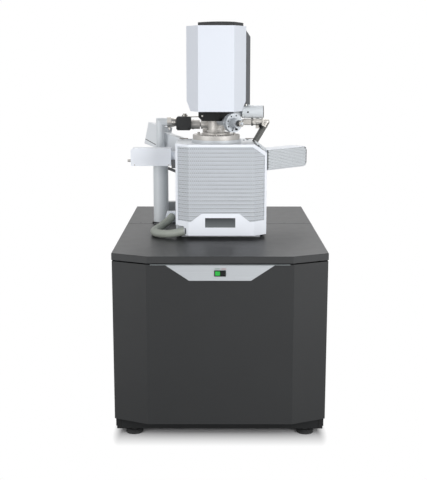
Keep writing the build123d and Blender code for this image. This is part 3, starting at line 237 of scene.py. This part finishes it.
# Nodes that take each finish.
dressing = {
    # The door cover and both detector boxes take the lighter white copy, which is painted light.
    "paintedLightWhite": ["door_cover", "right_detector_housing", "left_detector_box"],
    "whitePaint": ["column_casing"],
    "cylinderPaint": ["pump_cylinder"],
    "housingPaint": ["hose_block"],
    "tablePaint": ["front_table_plate", "rear_table_plate"],
    "coverPaint": ["front_cover", "left_side_cover", "right_side_cover", "rear_cover"],
    "framePaint": ["base_tray", "corner_posts", "top_rails", "control_rack"],
    "capPlastic": ["column_cap"],
    "darkPlastic": ["standby_button", "black_collar", "aperture_side_knob", "switch_bezel", "table_screws"],
    "spinePlastic": ["column_spine"],
    "windowGlass": ["display_window"],
    "discPaint": ["aperture_disc"],
    "machined": ["column_base", "column_neck", "objective_lens", "valve_pipe", "door_guides",
                 "stage_cradle", "stage_lift", "slide_x_table", "slide_y_table", "specimen_holder",
                 "specimen_stub", "turbo_pump", "column_core", "left_detector_knob"],
    "castPlate": ["chamber_body", "platform_plate", "chamfer_port_plate"],
    "plateShade": ["door_plate"],
    "brightSteel": ["clamp_rings", "pump_manifold", "side_pipe", "pipe_elbow"],
    "darkSteel": ["aperture_knob", "column_bolts"],
    "brushedInlay": ["inlay_plate"],
    "greyPaint": ["pump_post"],
    "detectorPaint": ["xray_detector"],
    "valvePaint": ["valve_block"],
    "lensGreen": ["power_on_button"],
    "blackRubber": ["door_seal", "levelling_feet", "isolation_mounts"],
    "hoseDark": ["bent_hose"],
    "hoseGrey": ["service_hose"],
}


def dress(node, material):
    # The node's own materials all give way to one.
    for place in nodes[node].material_slots:
        place.material = material
    if not nodes[node].material_slots:
        nodes[node].data.materials.append(material)


for finish, members in dressing.items():
    for member in members:
        dress(member, made[finish])


def repaint(node, chosen, finish):
    # Faces whose centre in mm and normal pass the test take a second finish.
    mesh = nodes[node].data
    count = len(mesh.polygons)
    centre, normal = np.zeros(count * 3, np.float32), np.zeros(count * 3, np.float32)
    index = np.zeros(count, np.int32)
    mesh.polygons.foreach_get("center", centre)
    mesh.polygons.foreach_get("normal", normal)
    mesh.polygons.foreach_get("material_index", index)
    mesh.materials.append(finish)
    index[chosen(centre.reshape(-1, 3) / mm, normal.reshape(-1, 3))] = len(mesh.materials) - 1
    mesh.polygons.foreach_set("material_index", index)
    print("repainted", node, int((index == len(mesh.materials) - 1).sum()))


# The right detector housing stands slanted: the way that it runs, and the way that its near side faces.
slant = math.sqrt(0.5)
housingWay = np.array([slant, slant, 0])
housingSide = np.array([slant, -slant, 0])

# Second finishes, sizes in mm: height of the bright band on top of the valve block, height and inner
# radius of the foot ring of the post about its axis, and how squarely a face has to point.
second = {"bandHeight": 13, "footHeight": 836, "footRadius": 39, "postAxis": (-298.5, 148),
          "upright": 0.5, "facing": 0.9}


def valveBand(centre, normal):
    # Within the band's height of the highest face.
    return centre[:, 2] > centre[:, 2].max() - second["bandHeight"]


def postFoot(centre, normal):
    # Low, and further from the post's axis than the ring's inner radius.
    away = centre[:, :2] - second["postAxis"]
    return (centre[:, 2] < second["footHeight"]) & (np.hypot(*away.T) > second["footRadius"])


def tableEdge(centre, normal):
    # Faces that stand more upright than flat.
    return np.abs(normal[:, 2]) < second["upright"]


def nearSide(centre, normal):
    # Faces along the housing's near side.
    return normal @ housingSide > second["facing"]


repaints = {
    "valve_block": (valveBand, "darkSteel"),
    "pump_post": (postFoot, "darkPlastic"),
    # The table's upright edge takes the lighter copy of its paint, which is painted light.
    "front_table_plate": (tableEdge, "paintedEdgeLight"),
    "right_detector_housing": (nearSide, "holeShade"),
}
for node, (chosen, finish) in repaints.items():
    repaint(node, chosen, made[finish])
print("finishes set")


def thicken(piece, thickness):
    # A wall on the side that the faces point away from.
    solid = piece.modifiers.new("sheet", "SOLIDIFY")
    solid.thickness = thickness
    solid.offset = -1


def perforated(spec, place, keep):
    # Cells on a half-pitch lattice, each row shifted by its own count of half pitches. A cell is a
    # ring of eight quads between its square and an eight-sided hole. keep picks the cells by their
    # middles, and place turns lengths along and up the sheet into points.
    rows, columns, pitch, height = spec["rows"], spec["columns"], spec["pitch"], spec["height"]
    r, c = np.meshgrid(np.arange(rows), np.arange(columns), indexing="ij")
    shift = np.array(spec["shifts"])[r % len(spec["shifts"])]
    hole = np.array(spec["holes"])[r % len(spec["holes"])] / 2
    row = (2 * r).ravel() + 1
    column = (2 * c + shift).ravel() + 1
    hole = hole.ravel()
    kept = keep(column * pitch / 2, row * height / 2)
    row, column, hole = row[kept], column[kept], hole[kept]
    around = np.array([(-1, -1), (-1, 0), (-1, 1), (0, 1), (1, 1), (1, 0), (1, -1), (0, -1)])
    wide = 2 * columns + 3  # lattice points in a row, with room for a shifted last cell
    outer = (row[:, None] + around[:, 0]) * wide + column[:, None] + around[:, 1]
    used, index = np.unique(outer, return_inverse=True)
    index = index.reshape(outer.shape)
    lattice = np.stack([(used % wide) * pitch / 2, (used // wide) * height / 2], 1)
    turn = np.arctan2(around[:, 0], around[:, 1])
    rim = np.stack([column[:, None] * pitch / 2 + hole[:, None] * np.cos(turn),
                    row[:, None] * height / 2 + hole[:, None] * np.sin(turn)], -1)
    inner = len(used) + np.arange(rim.shape[0] * len(around)).reshape(-1, len(around))
    faces = np.stack([index, np.roll(index, -1, 1), np.roll(inner, -1, 1), inner], -1).reshape(-1, 4)
    flat = np.concatenate([lattice, rim.reshape(-1, 2)])
    return place(flat[:, 0], flat[:, 1]), faces


# Perforated sheet behind the opening of the door cover, over the front and both facets: plan line,
# lower and upper edge of the opening in mm, and how far the sheet goes over them.
doorSheet = {
    "plan": [(-202.4, -267.2), (-143.7, -312.4), (156.8, -312.4), (214.0, -266.6)],
    "low": 900 * mm, "pitch": 9.3 * mm, "height": 9.2 * mm, "rows": 39, "columns": 49,
    "shifts": (0, 1), "holes": (3.8 * mm, 6.4 * mm), "thickness": 1.2 * mm,
    "lower": [(-230, 912), (-133, 912), (-85, 946), (91, 946), (139, 912), (240, 912)],
    "upper": [(-230, 1254), (154, 1254), (214, 1212)], "over": 5,
}


def doorLine(spec, along):
    # Plan point at a length run along the sheet, straight between the corners.
    plan = np.array(spec["plan"]) * mm
    run = np.concatenate([[0], np.cumsum(np.linalg.norm(np.diff(plan, axis=0), axis=1))])
    return np.interp(along, run, plan[:, 0]), np.interp(along, run, plan[:, 1])


def makeDoorSheet(spec):
    # The plan line drawn straight up, kept between the two edges of the opening.
    def place(along, rise):
        x, y = doorLine(spec, along)
        return np.stack([x, y, spec["low"] + rise], 1)

    def keep(along, rise):
        x = doorLine(spec, along)[0] / mm
        z = (spec["low"] + rise) / mm
        low = np.interp(x, *np.array(spec["lower"], float).T)
        high = np.interp(x, *np.array(spec["upper"], float).T)
        return (z > low - spec["over"]) & (z < high + spec["over"])

    points, faces = perforated(spec, place, keep)
    sheet = meshPiece("doorSheet", points, faces, "door", made["grillePaint"], smooth=False)
    thicken(sheet, spec["thickness"])
    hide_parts("door_grille")
    print("door sheet", len(faces))


makeDoorSheet(doorSheet)

# Perforated skin on the near side of the right detector housing, in mm from the column's axis:
# start along the housing and beside it, length and height of the side, round of its far upper
# corner, lift of the skin's lower edge, inset from the housing's edges and rim round that corner.
housingSkin = {
    "origin": (*columnAxis, 1103), "start": 320, "side": 45.6, "length": 300, "high": 105, "round": 24,
    "lift": 3, "inset": 6, "rim": 3, "pitch": 9.4 * mm, "height": 7.6 * mm, "rows": 13, "columns": 32,
    "shifts": (0, 1), "holes": (4.2 * mm,), "thickness": 1.0 * mm,
}


def makeHousingSkin(spec):
    # A flat sheet from the start, along the housing and up, inside a rectangle with a round corner.
    start = np.array(spec["origin"], float) + housingWay * spec["start"] + housingSide * spec["side"]
    reach, top = spec["round"], spec["high"] - spec["inset"]

    def place(along, rise):
        return start * mm + along[:, None] * housingWay + (rise + spec["lift"] * mm)[:, None] * upWay

    def keep(along, rise):
        u, v = along / mm, rise / mm
        past = np.hypot(np.maximum(u - (spec["length"] - reach), 0), np.maximum(v - (top - reach), 0))
        inside = (v < top - spec["lift"]) & (u < spec["length"] - spec["inset"])
        return inside & (past < reach - spec["rim"])

    points, faces = perforated(spec, place, keep)
    skin = meshPiece("housingSkin", points, faces[:, ::-1], "root", made["housingPaint"], smooth=False)
    thicken(skin, spec["thickness"])
    print("housing skin", len(faces))


makeHousingSkin(housingSkin)

sharpEdge = math.radians(35)  # edges of turned pieces that bend more than this stay sharp


def lathe(name, outline, start, way, body, finish, sides=24):
    # Points (radius, along) in mm turn about the axis that leaves start in the direction way.
    axis = np.array(way, float)
    axis /= np.linalg.norm(axis)
    across = np.cross(axis, upWay if abs(axis[2]) < 0.9 else rightWay)
    across /= np.linalg.norm(across)
    other = np.cross(axis, across)
    turn = np.linspace(0, 2 * np.pi, sides, endpoint=False)
    ring = np.cos(turn)[:, None] * across + np.sin(turn)[:, None] * other
    shape = np.array(outline, float)
    points = np.array(start, float) + shape[:, 1, None, None] * axis + shape[:, 0, None, None] * ring
    piece = meshPiece(name, points.reshape(-1, 3) * mm, tubeFaces(len(outline), sides), body, finish)
    piece.data.set_sharp_from_angle(angle=sharpEdge)


def slab(name, low, high, body, finish, edge=0.6):
    # A box between two corners in mm, with a small bevel.
    corners = np.array([low, high], float) * mm
    pick = np.array([(i, j, k) for k in (0, 1) for j in (0, 1) for i in (0, 1)])
    points = np.stack([corners[pick[:, axis], axis] for axis in range(3)], 1)
    faces = [(0, 2, 3, 1), (4, 5, 7, 6), (0, 1, 5, 4), (2, 6, 7, 3), (0, 4, 6, 2), (1, 3, 7, 5)]
    piece = meshPiece(name, points, faces, body, finish, smooth=False)
    bevel = piece.modifiers.new("edge", "BEVEL")
    bevel.width = edge * mm
    bevel.segments = 2


# Screw head with a rim, a domed edge and a sunk middle, for a head radius of one.
screwHead = [(0.5, 0), (1, 0), (1, 0.35), (0.85, 0.55), (0.45, 0.6), (0.4, 0.3)]


def screw(name, place, way, radius, body, finish):
    # The head's outline grows with its radius.
    lathe(name, radius * np.array(screwHead), place, way, body, finish, sides=16)


# Small screws: place and way in mm, head radius, finish.
screws = {
    "boxScrewA": ((-415.3, -40, 1143), (0, -1, 0), 3.2, "brightSteel"),
    "boxScrewB": ((-250, -40, 1143), (0, -1, 0), 3.2, "brightSteel"),
    "collarScrew": ((-81.8, -215, 1389), (0, -1, 0), 4.5, "brightSteel"),
    "cylinderScrew": ((136, -52.5, 1399), (0, -1, 0), 4.0, "darkPlastic"),
    "valveScrewA": ((-206, 113, 1311), (0, -1, 0), 4.0, "darkPlastic"),
    "valveScrewB": ((-154, 113, 1311), (0, -1, 0), 4.0, "darkPlastic"),
    "topScrewA": ((-137, -20, 1262), (0, 0, 1), 6.0, "discPaint"),
    "topScrewB": ((-122, 0, 1262), (0, 0, 1), 6.0, "discPaint"),
    "topScrewC": ((118, -30, 1262), (0, 0, 1), 6.0, "discPaint"),
    "topScrewD": ((136, -15, 1262), (0, 0, 1), 7.0, "discPaint"),
    "ductScrewA": ((-254, 180, 1272), (0, -0.4, 1), 4.0, "darkPlastic"),
    "tableScrewA": ((-338, 139.5, 825), (0, 0, 1), 6.0, "darkPlastic"),
    "tableScrewB": ((-229, 140, 825), (0, 0, 1), 6.0, "darkPlastic"),
}
for name, (place, way, radius, finish) in screws.items():
    screw(name, place, way, radius, "root", made[finish])

# Ring of screws on the aperture disc, in mm: the drive leaves the column's axis at an angle.
driveAngle = math.radians(30)
driveWay = np.array([math.sin(driveAngle), -math.cos(driveAngle), 0])
driveSide = np.cross(driveWay, upWay)
discScrews = {"centre": np.array([*columnAxis, 1360]) + driveWay * 166, "reach": 35, "count": 8,
              "radius": 3.2, "firstTurn": 0.3}


def roundDrive(centre, reach, turn):
    # Point at an angle on a circle across the drive.
    return centre + reach * (np.cos(turn) * driveSide + np.sin(turn) * upWay)


def makeDiscScrews(spec):
    # Screws evenly round the disc.
    for i, turn in enumerate(np.linspace(0, 2 * np.pi, spec["count"], endpoint=False) + spec["firstTurn"]):
        place = roundDrive(spec["centre"], spec["reach"], turn)
        screw(f"discScrew{i}", place, driveWay, spec["radius"], "root", made["darkPlastic"])


makeDiscScrews(discScrews)

# Plain blocks and strips: low corner and high corner in mm, finish.
blocks = {
    "tableStrip": ((-298, -705.6, 787.2), (298, -702, 790.6), "stripPaint"),
    "tableSlot": ((-123, -704.6, 791.4), (34, -690, 794.4), "darkPlastic"),
    "legendOn": ((-23, -706.4, 770.6), (-1, -705.2, 772.4), "legendGreen"),
    "legendStandby": ((6, -706.4, 770.6), (27, -705.2, 772.4), "legendRed"),
    "backStripA": ((-199, 60, 1262), (-156, 72, 1265), "agedStrip"),
    "backStripB": ((128, 60, 1262), (178, 72, 1265), "agedStrip"),
    "elbowFlange": ((203, -59, 1334), (211, -21, 1370), "brightSteel"),
    "neckBlock": ((-82, -75, 1299), (-58, -50, 1324), "machined"),
    "skirtSlitA": ((-444.7, -625.7, 22.5), (-438.5, -624, 71), "slitShade"),
    "skirtSlitB": ((438.5, -625.7, 22.5), (444.7, -624, 71), "slitShade"),
    "portBlock": ((-235, -36, 1126), (-207, -12, 1166), "spinePlastic"),
    "rearBlock": ((-265, 196, 825), (-176, 240, 926), "rearShade"),
}
for name, (low, high, finish) in blocks.items():
    slab(name, low, high, "root", made[finish])

# Turned fittings: outline of (radius, along) and start in mm, way, finish.
fittings = {
    "hoseBand": ([(19.6, 0), (27, 0), (28, 2), (28, 13), (27, 15), (19.6, 15)],
                 (-238, -34, 885), (0, 1, 0), "whitePaint"),
    "wingScrew": ([(3, 0), (5.5, 0), (7, 3), (7, 15), (5, 18), (3, 18)],
                  (196, -58, 1328), (0.5, -1, 0), "darkPlastic"),
    "outletSleeve": ([(15, 0), (22, 0), (23, 2), (23, 40), (22, 42), (15, 42)],
                     (-94, 148, 1328), (1, 0, 0), "machined"),
    "valveRod": ([(2, 0), (3, 0), (3, 74), (2, 74)],
                 (-166, 140, 1366), (1, 0, 0.02), "brightSteel"),
    "cylinderEnd": ([(20, 0), (29.5, 0), (30.2, 1.5), (28, 4), (20, 4)],
                    (208.6, -22, 1400), (1, 0, 0), "spinePlastic"),
    "portArm": ([(3, 0), (7, 0), (7, 50), (3, 50)],
                (-254, -4, 1123), (0.93, 0, -0.37), "spinePlastic"),
    "boxSlot": ([(0.5, 0), (1.5, 0), (1.5, 97), (0.5, 97)],
                (-384, 282.5, 1243.5), (50.8, -66.6, -20.2), "slitShade"),
    "elbowTap": ([(2, 0), (7, 0), (8, 3), (8, 10), (6, 14), (2, 14)],
                 (197, -43, 1338), (0, -0.2, -1), "darkPlastic"),
    "pipeNut": ([(13, 0), (18.5, 0), (19, 1), (19, 9), (18.5, 10), (13, 10)],
                (152, -40, 1352), (1, 0, 0), "darkSteel"),
    "cylinderTap": ([(2, 0), (9, 0), (9, 5), (6, 6), (6, 14), (2, 14)],
                    (126, -22, 1430), (0, 0, 1), "brightSteel"),
}
for name, (outline, start, way, finish) in fittings.items():
    lathe(name, outline, start, way, "root", made[finish])
print("small fittings made")


def routeCurve(name, route):
    # A smooth line with the route's points as its control points.
    curve = bpy.data.curves.new(name, "CURVE")
    curve.dimensions = "3D"
    curve.resolution_u = 24
    spline = curve.splines.new("NURBS")
    spline.points.add(len(route) - 1)
    for point, place in zip(spline.points, route):
        point.co = (place[0] * mm, place[1] * mm, place[2] * mm, 1)
    spline.order_u = 3
    spline.use_endpoint_u = True
    holder = bpy.data.objects.new(name, curve)
    bpy.context.scene.collection.objects.link(holder)
    bpy.context.view_layer.update()
    line = bpy.data.meshes.new_from_object(holder)
    path = np.zeros(len(line.vertices) * 3, np.float32)
    line.vertices.foreach_get("co", path)
    bpy.data.objects.remove(holder)
    bpy.data.meshes.remove(line)
    return path.reshape(-1, 3).astype(float)


def resampled(path, step):
    # The same line with points an even step apart, and the length run at each.
    along = np.concatenate([[0], np.cumsum(np.linalg.norm(np.diff(path, axis=0), axis=1))])
    at = np.linspace(0, along[-1], int(round(along[-1] / step)) + 1)
    return np.stack([np.interp(at, along, path[:, i]) for i in range(3)], 1), at


def ribbedTube(path, at, spec, reference):
    # Circles across the path; the radius swells by a cosine of the length run, once a pitch. The
    # circles start square to the reference direction.
    tangent = np.gradient(path, axis=0)
    tangent /= np.linalg.norm(tangent, axis=1)[:, None]
    across = np.cross(tangent, reference)
    across /= np.linalg.norm(across, axis=1)[:, None]
    up = np.cross(across, tangent)
    turn = np.linspace(0, 2 * np.pi, spec["sides"], endpoint=False)
    radius, rib = spec["diameter"] / 2, spec["rib"]
    swell = radius - rib / 2 + rib / 2 * np.cos(at / spec["pitch"] * 2 * np.pi)
    ring = np.cos(turn)[None, :, None] * across[:, None] + np.sin(turn)[None, :, None] * up[:, None]
    points = path[:, None] + ring * swell[:, None, None]
    return points.reshape(-1, 3), tubeFaces(len(path), spec["sides"])


# Limp hose from the clamp block on the chamber to the notch in the door.
serviceHose = {
    "route": [(-236, -18, 887), (-237, -56, 884), (-258, -88, 868), (-288, -128, 851), (-312, -180, 845),
              (-308, -248, 845), (-268, -288, 846), (-214, -298, 850), (-166, -298, 862)],
    "diameter": 38 * mm, "rib": 1.2 * mm, "pitch": 5.5 * mm, "step": 1.1 * mm, "sides": 40, "every": 8,
}


def makeServiceHose(spec):
    # Ribbed tube along the smooth route.
    path, at = resampled(routeCurve("hoseLine", spec["route"]), spec["step"])
    points, faces = ribbedTube(path, at, spec, upWay)
    hose = meshPiece("serviceHose", points, faces, None, made["hoseGrey"])
    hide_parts("service_hose")
    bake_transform(hose)
    print("service hose", round(float(at[-1]), 3))


makeServiceHose(serviceHose)

# Short ribbed hose from the pipe's elbow into the chamber's slanted corner.
cornerHose = {
    "route": [(219, -40, 1339), (192, -40, 1292), (168, -40, 1251)],
    "diameter": 31 * mm, "rib": 2.0 * mm, "pitch": 6 * mm, "step": 1.0 * mm, "sides": 36,
}


def makeCornerHose(spec):
    # Ribbed tube along the straight stretches between the route's points.
    path, at = resampled(np.array(spec["route"], float) * mm, spec["step"])
    points, faces = ribbedTube(path, at, spec, backWay)
    hose = meshPiece("cornerHose", points, faces, "root", made["hoseDark"])
    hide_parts("bent_hose")
    print("corner hose", round(float(at[-1]), 3))


makeCornerHose(cornerHose)

# Fittings of the aperture drive's knob in mm: its start and their places along the drive, and
# outlines of (radius, along).
knobFittings = {
    "start": 38, "ringsAt": (4, 11, 18), "ring": [(12, 0), (14.6, 0), (14.6, 3), (12, 3)],
    "endAt": 26, "end": [(0.5, 0), (8, 0), (8, 2.5), (5.5, 3.5), (5, 7), (0.5, 7)],
    "screwCount": 6, "screwReach": 10.8, "screwRadius": 1.8,
}


def makeKnobFittings(spec):
    # Grip rings round the knob, a turned end on it and screws evenly round that end.
    start = discScrews["centre"] + driveWay * spec["start"]
    for i, along in enumerate(spec["ringsAt"]):
        lathe(f"knobRing{i}", spec["ring"], start + driveWay * along, driveWay, "aperture_drive",
              made["darkPlastic"])
    end = start + driveWay * spec["endAt"]
    lathe("knobEnd", spec["end"], end, driveWay, "aperture_drive", made["discPaint"])
    for i, turn in enumerate(np.linspace(0, 2 * np.pi, spec["screwCount"], endpoint=False)):
        place = roundDrive(end, spec["screwReach"], turn)
        screw(f"knobScrew{i}", place, driveWay, spec["screwRadius"], "aperture_drive", made["darkPlastic"])
    print("knob fittings made")


makeKnobFittings(knobFittings)

# Lamps as name, place, size in metres and power; the point that they aim at; strength of the world's
# light; half the floor's side.
studio = {
    "lamps": [("key", (3.0, -3.6, 1.3), 3.2, 152), ("fill", (-3.3, -3.1, 1.2), 3.2, 104),
              ("back", (0.3, 2.6, 3.6), 2.6, 50)],
    "aim": (0, 0, 0.9), "world": 0.38, "floor": 9.0,
}

# Floor paper: base colour and roughness, grey of its bounce, half size of the console's outline, how
# much distances to the side count, and the width over which the paper turns white, in metres. The
# grey base near the outline is painted shade that deepens the rendered shadow there.
paper = {"base": (0.6, 0.6, 0.61), "roughness": 0.9, "bounce": 0.4, "half": (0.44, 0.61, 0),
         "sideways": 4, "fade": 0.16}


def hangLamps(spec):
    # Square area lamps that face the aimed point.
    for name, place, size, power in spec["lamps"]:
        data = bpy.data.lights.new(name, "AREA")
        data.size = size
        data.energy = power
        lamp = bpy.data.objects.new(name, data)
        lamp.location = place
        lamp.rotation_euler = (Vector(spec["aim"]) - Vector(place)).to_track_quat("-Z", "Y").to_euler()
        bpy.context.scene.collection.objects.link(lamp)


def lightWorld(spec):
    # Camera, transmission and glossy rays see full white, and all others the world's own strength.
    world = bpy.data.worlds.new("studio")
    bpy.context.scene.world = world
    world.use_nodes = True
    tree = world.node_tree
    tree.nodes.clear()
    out = tree.nodes.new("ShaderNodeOutputWorld")
    mix = tree.nodes.new("ShaderNodeMixShader")
    lit = tree.nodes.new("ShaderNodeBackground")
    seen = tree.nodes.new("ShaderNodeBackground")
    path = tree.nodes.new("ShaderNodeLightPath")
    lit.inputs["Strength"].default_value = spec["world"]
    lit.inputs["Color"].default_value = (1, 1, 1, 1)
    seen.inputs["Color"].default_value = (1, 1, 1, 1)
    either = path.outputs["Is Camera Ray"]
    for ray in ("Is Transmission Ray", "Is Glossy Ray"):
        most = tree.nodes.new("ShaderNodeMath")
        most.operation = "MAXIMUM"
        tree.links.new(either, most.inputs[0])
        tree.links.new(path.outputs[ray], most.inputs[1])
        either = most.outputs[0]
    tree.links.new(either, mix.inputs["Fac"])
    tree.links.new(lit.outputs[0], mix.inputs[1])
    tree.links.new(seen.outputs[0], mix.inputs[2])
    tree.links.new(mix.outputs[0], out.inputs["Surface"])


def floorPaper(spec):
    # Paper that keeps the shadow close by: seen from the camera it is grey near the console, painted
    # shade that deepens the rendered shadow, and turns plain white over the fade width from the
    # console's outline, by the length of max(|place| - half size, 0), where distances to the side
    # count several times. Other rays meet a dull grey.
    material = bpy.data.materials.new("paper")
    material.use_nodes = True
    tree = material.node_tree
    shader = tree.nodes["Principled BSDF"]
    shader.inputs["Base Color"].default_value = (*spec["base"], 1)
    shader.inputs["Roughness"].default_value = spec["roughness"]
    out = tree.nodes["Material Output"]
    path = tree.nodes.new("ShaderNodeLightPath")
    coords = tree.nodes.new("ShaderNodeTexCoord")
    away = coords.outputs["Object"]
    for operation, value in (("ABSOLUTE", None), ("SUBTRACT", spec["half"]), ("MAXIMUM", (0, 0, 0)),
                             ("MULTIPLY", (spec["sideways"], 1, 1)), ("LENGTH", None)):
        step = tree.nodes.new("ShaderNodeVectorMath")
        step.operation = operation
        if value:
            step.inputs[1].default_value = value
        tree.links.new(away, step.inputs[0])
        away = step.outputs["Value" if operation == "LENGTH" else "Vector"]
    span = tree.nodes.new("ShaderNodeMapRange")
    span.inputs["From Max"].default_value = spec["fade"]
    tree.links.new(away, span.inputs["Value"])
    plain = tree.nodes.new("ShaderNodeEmission")
    far = tree.nodes.new("ShaderNodeMixShader")
    tree.links.new(span.outputs["Result"], far.inputs["Fac"])
    tree.links.new(shader.outputs[0], far.inputs[1])
    tree.links.new(plain.outputs[0], far.inputs[2])
    bounce = tree.nodes.new("ShaderNodeBsdfDiffuse")
    bounce.inputs["Color"].default_value = (spec["bounce"],) * 3 + (1,)
    mix = tree.nodes.new("ShaderNodeMixShader")
    tree.links.new(path.outputs["Is Camera Ray"], mix.inputs["Fac"])
    tree.links.new(bounce.outputs[0], mix.inputs[1])
    tree.links.new(far.outputs[0], mix.inputs[2])
    tree.links.new(mix.outputs[0], out.inputs["Surface"])
    return material


def layFloor(half):
    # One square face at height zero.
    mesh = bpy.data.meshes.new("floor")
    mesh.from_pydata([(-half, -half, 0), (half, -half, 0), (half, half, 0), (-half, half, 0)], [],
                     [(0, 1, 2, 3)])
    floor = bpy.data.objects.new("floor", mesh)
    bpy.context.scene.collection.objects.link(floor)
    mesh.materials.append(floorPaper(paper))


hangLamps(studio)
lightWorld(studio)
layFloor(studio["floor"])
bpy.context.scene.view_settings.view_transform = "Standard"
print("studio lit")
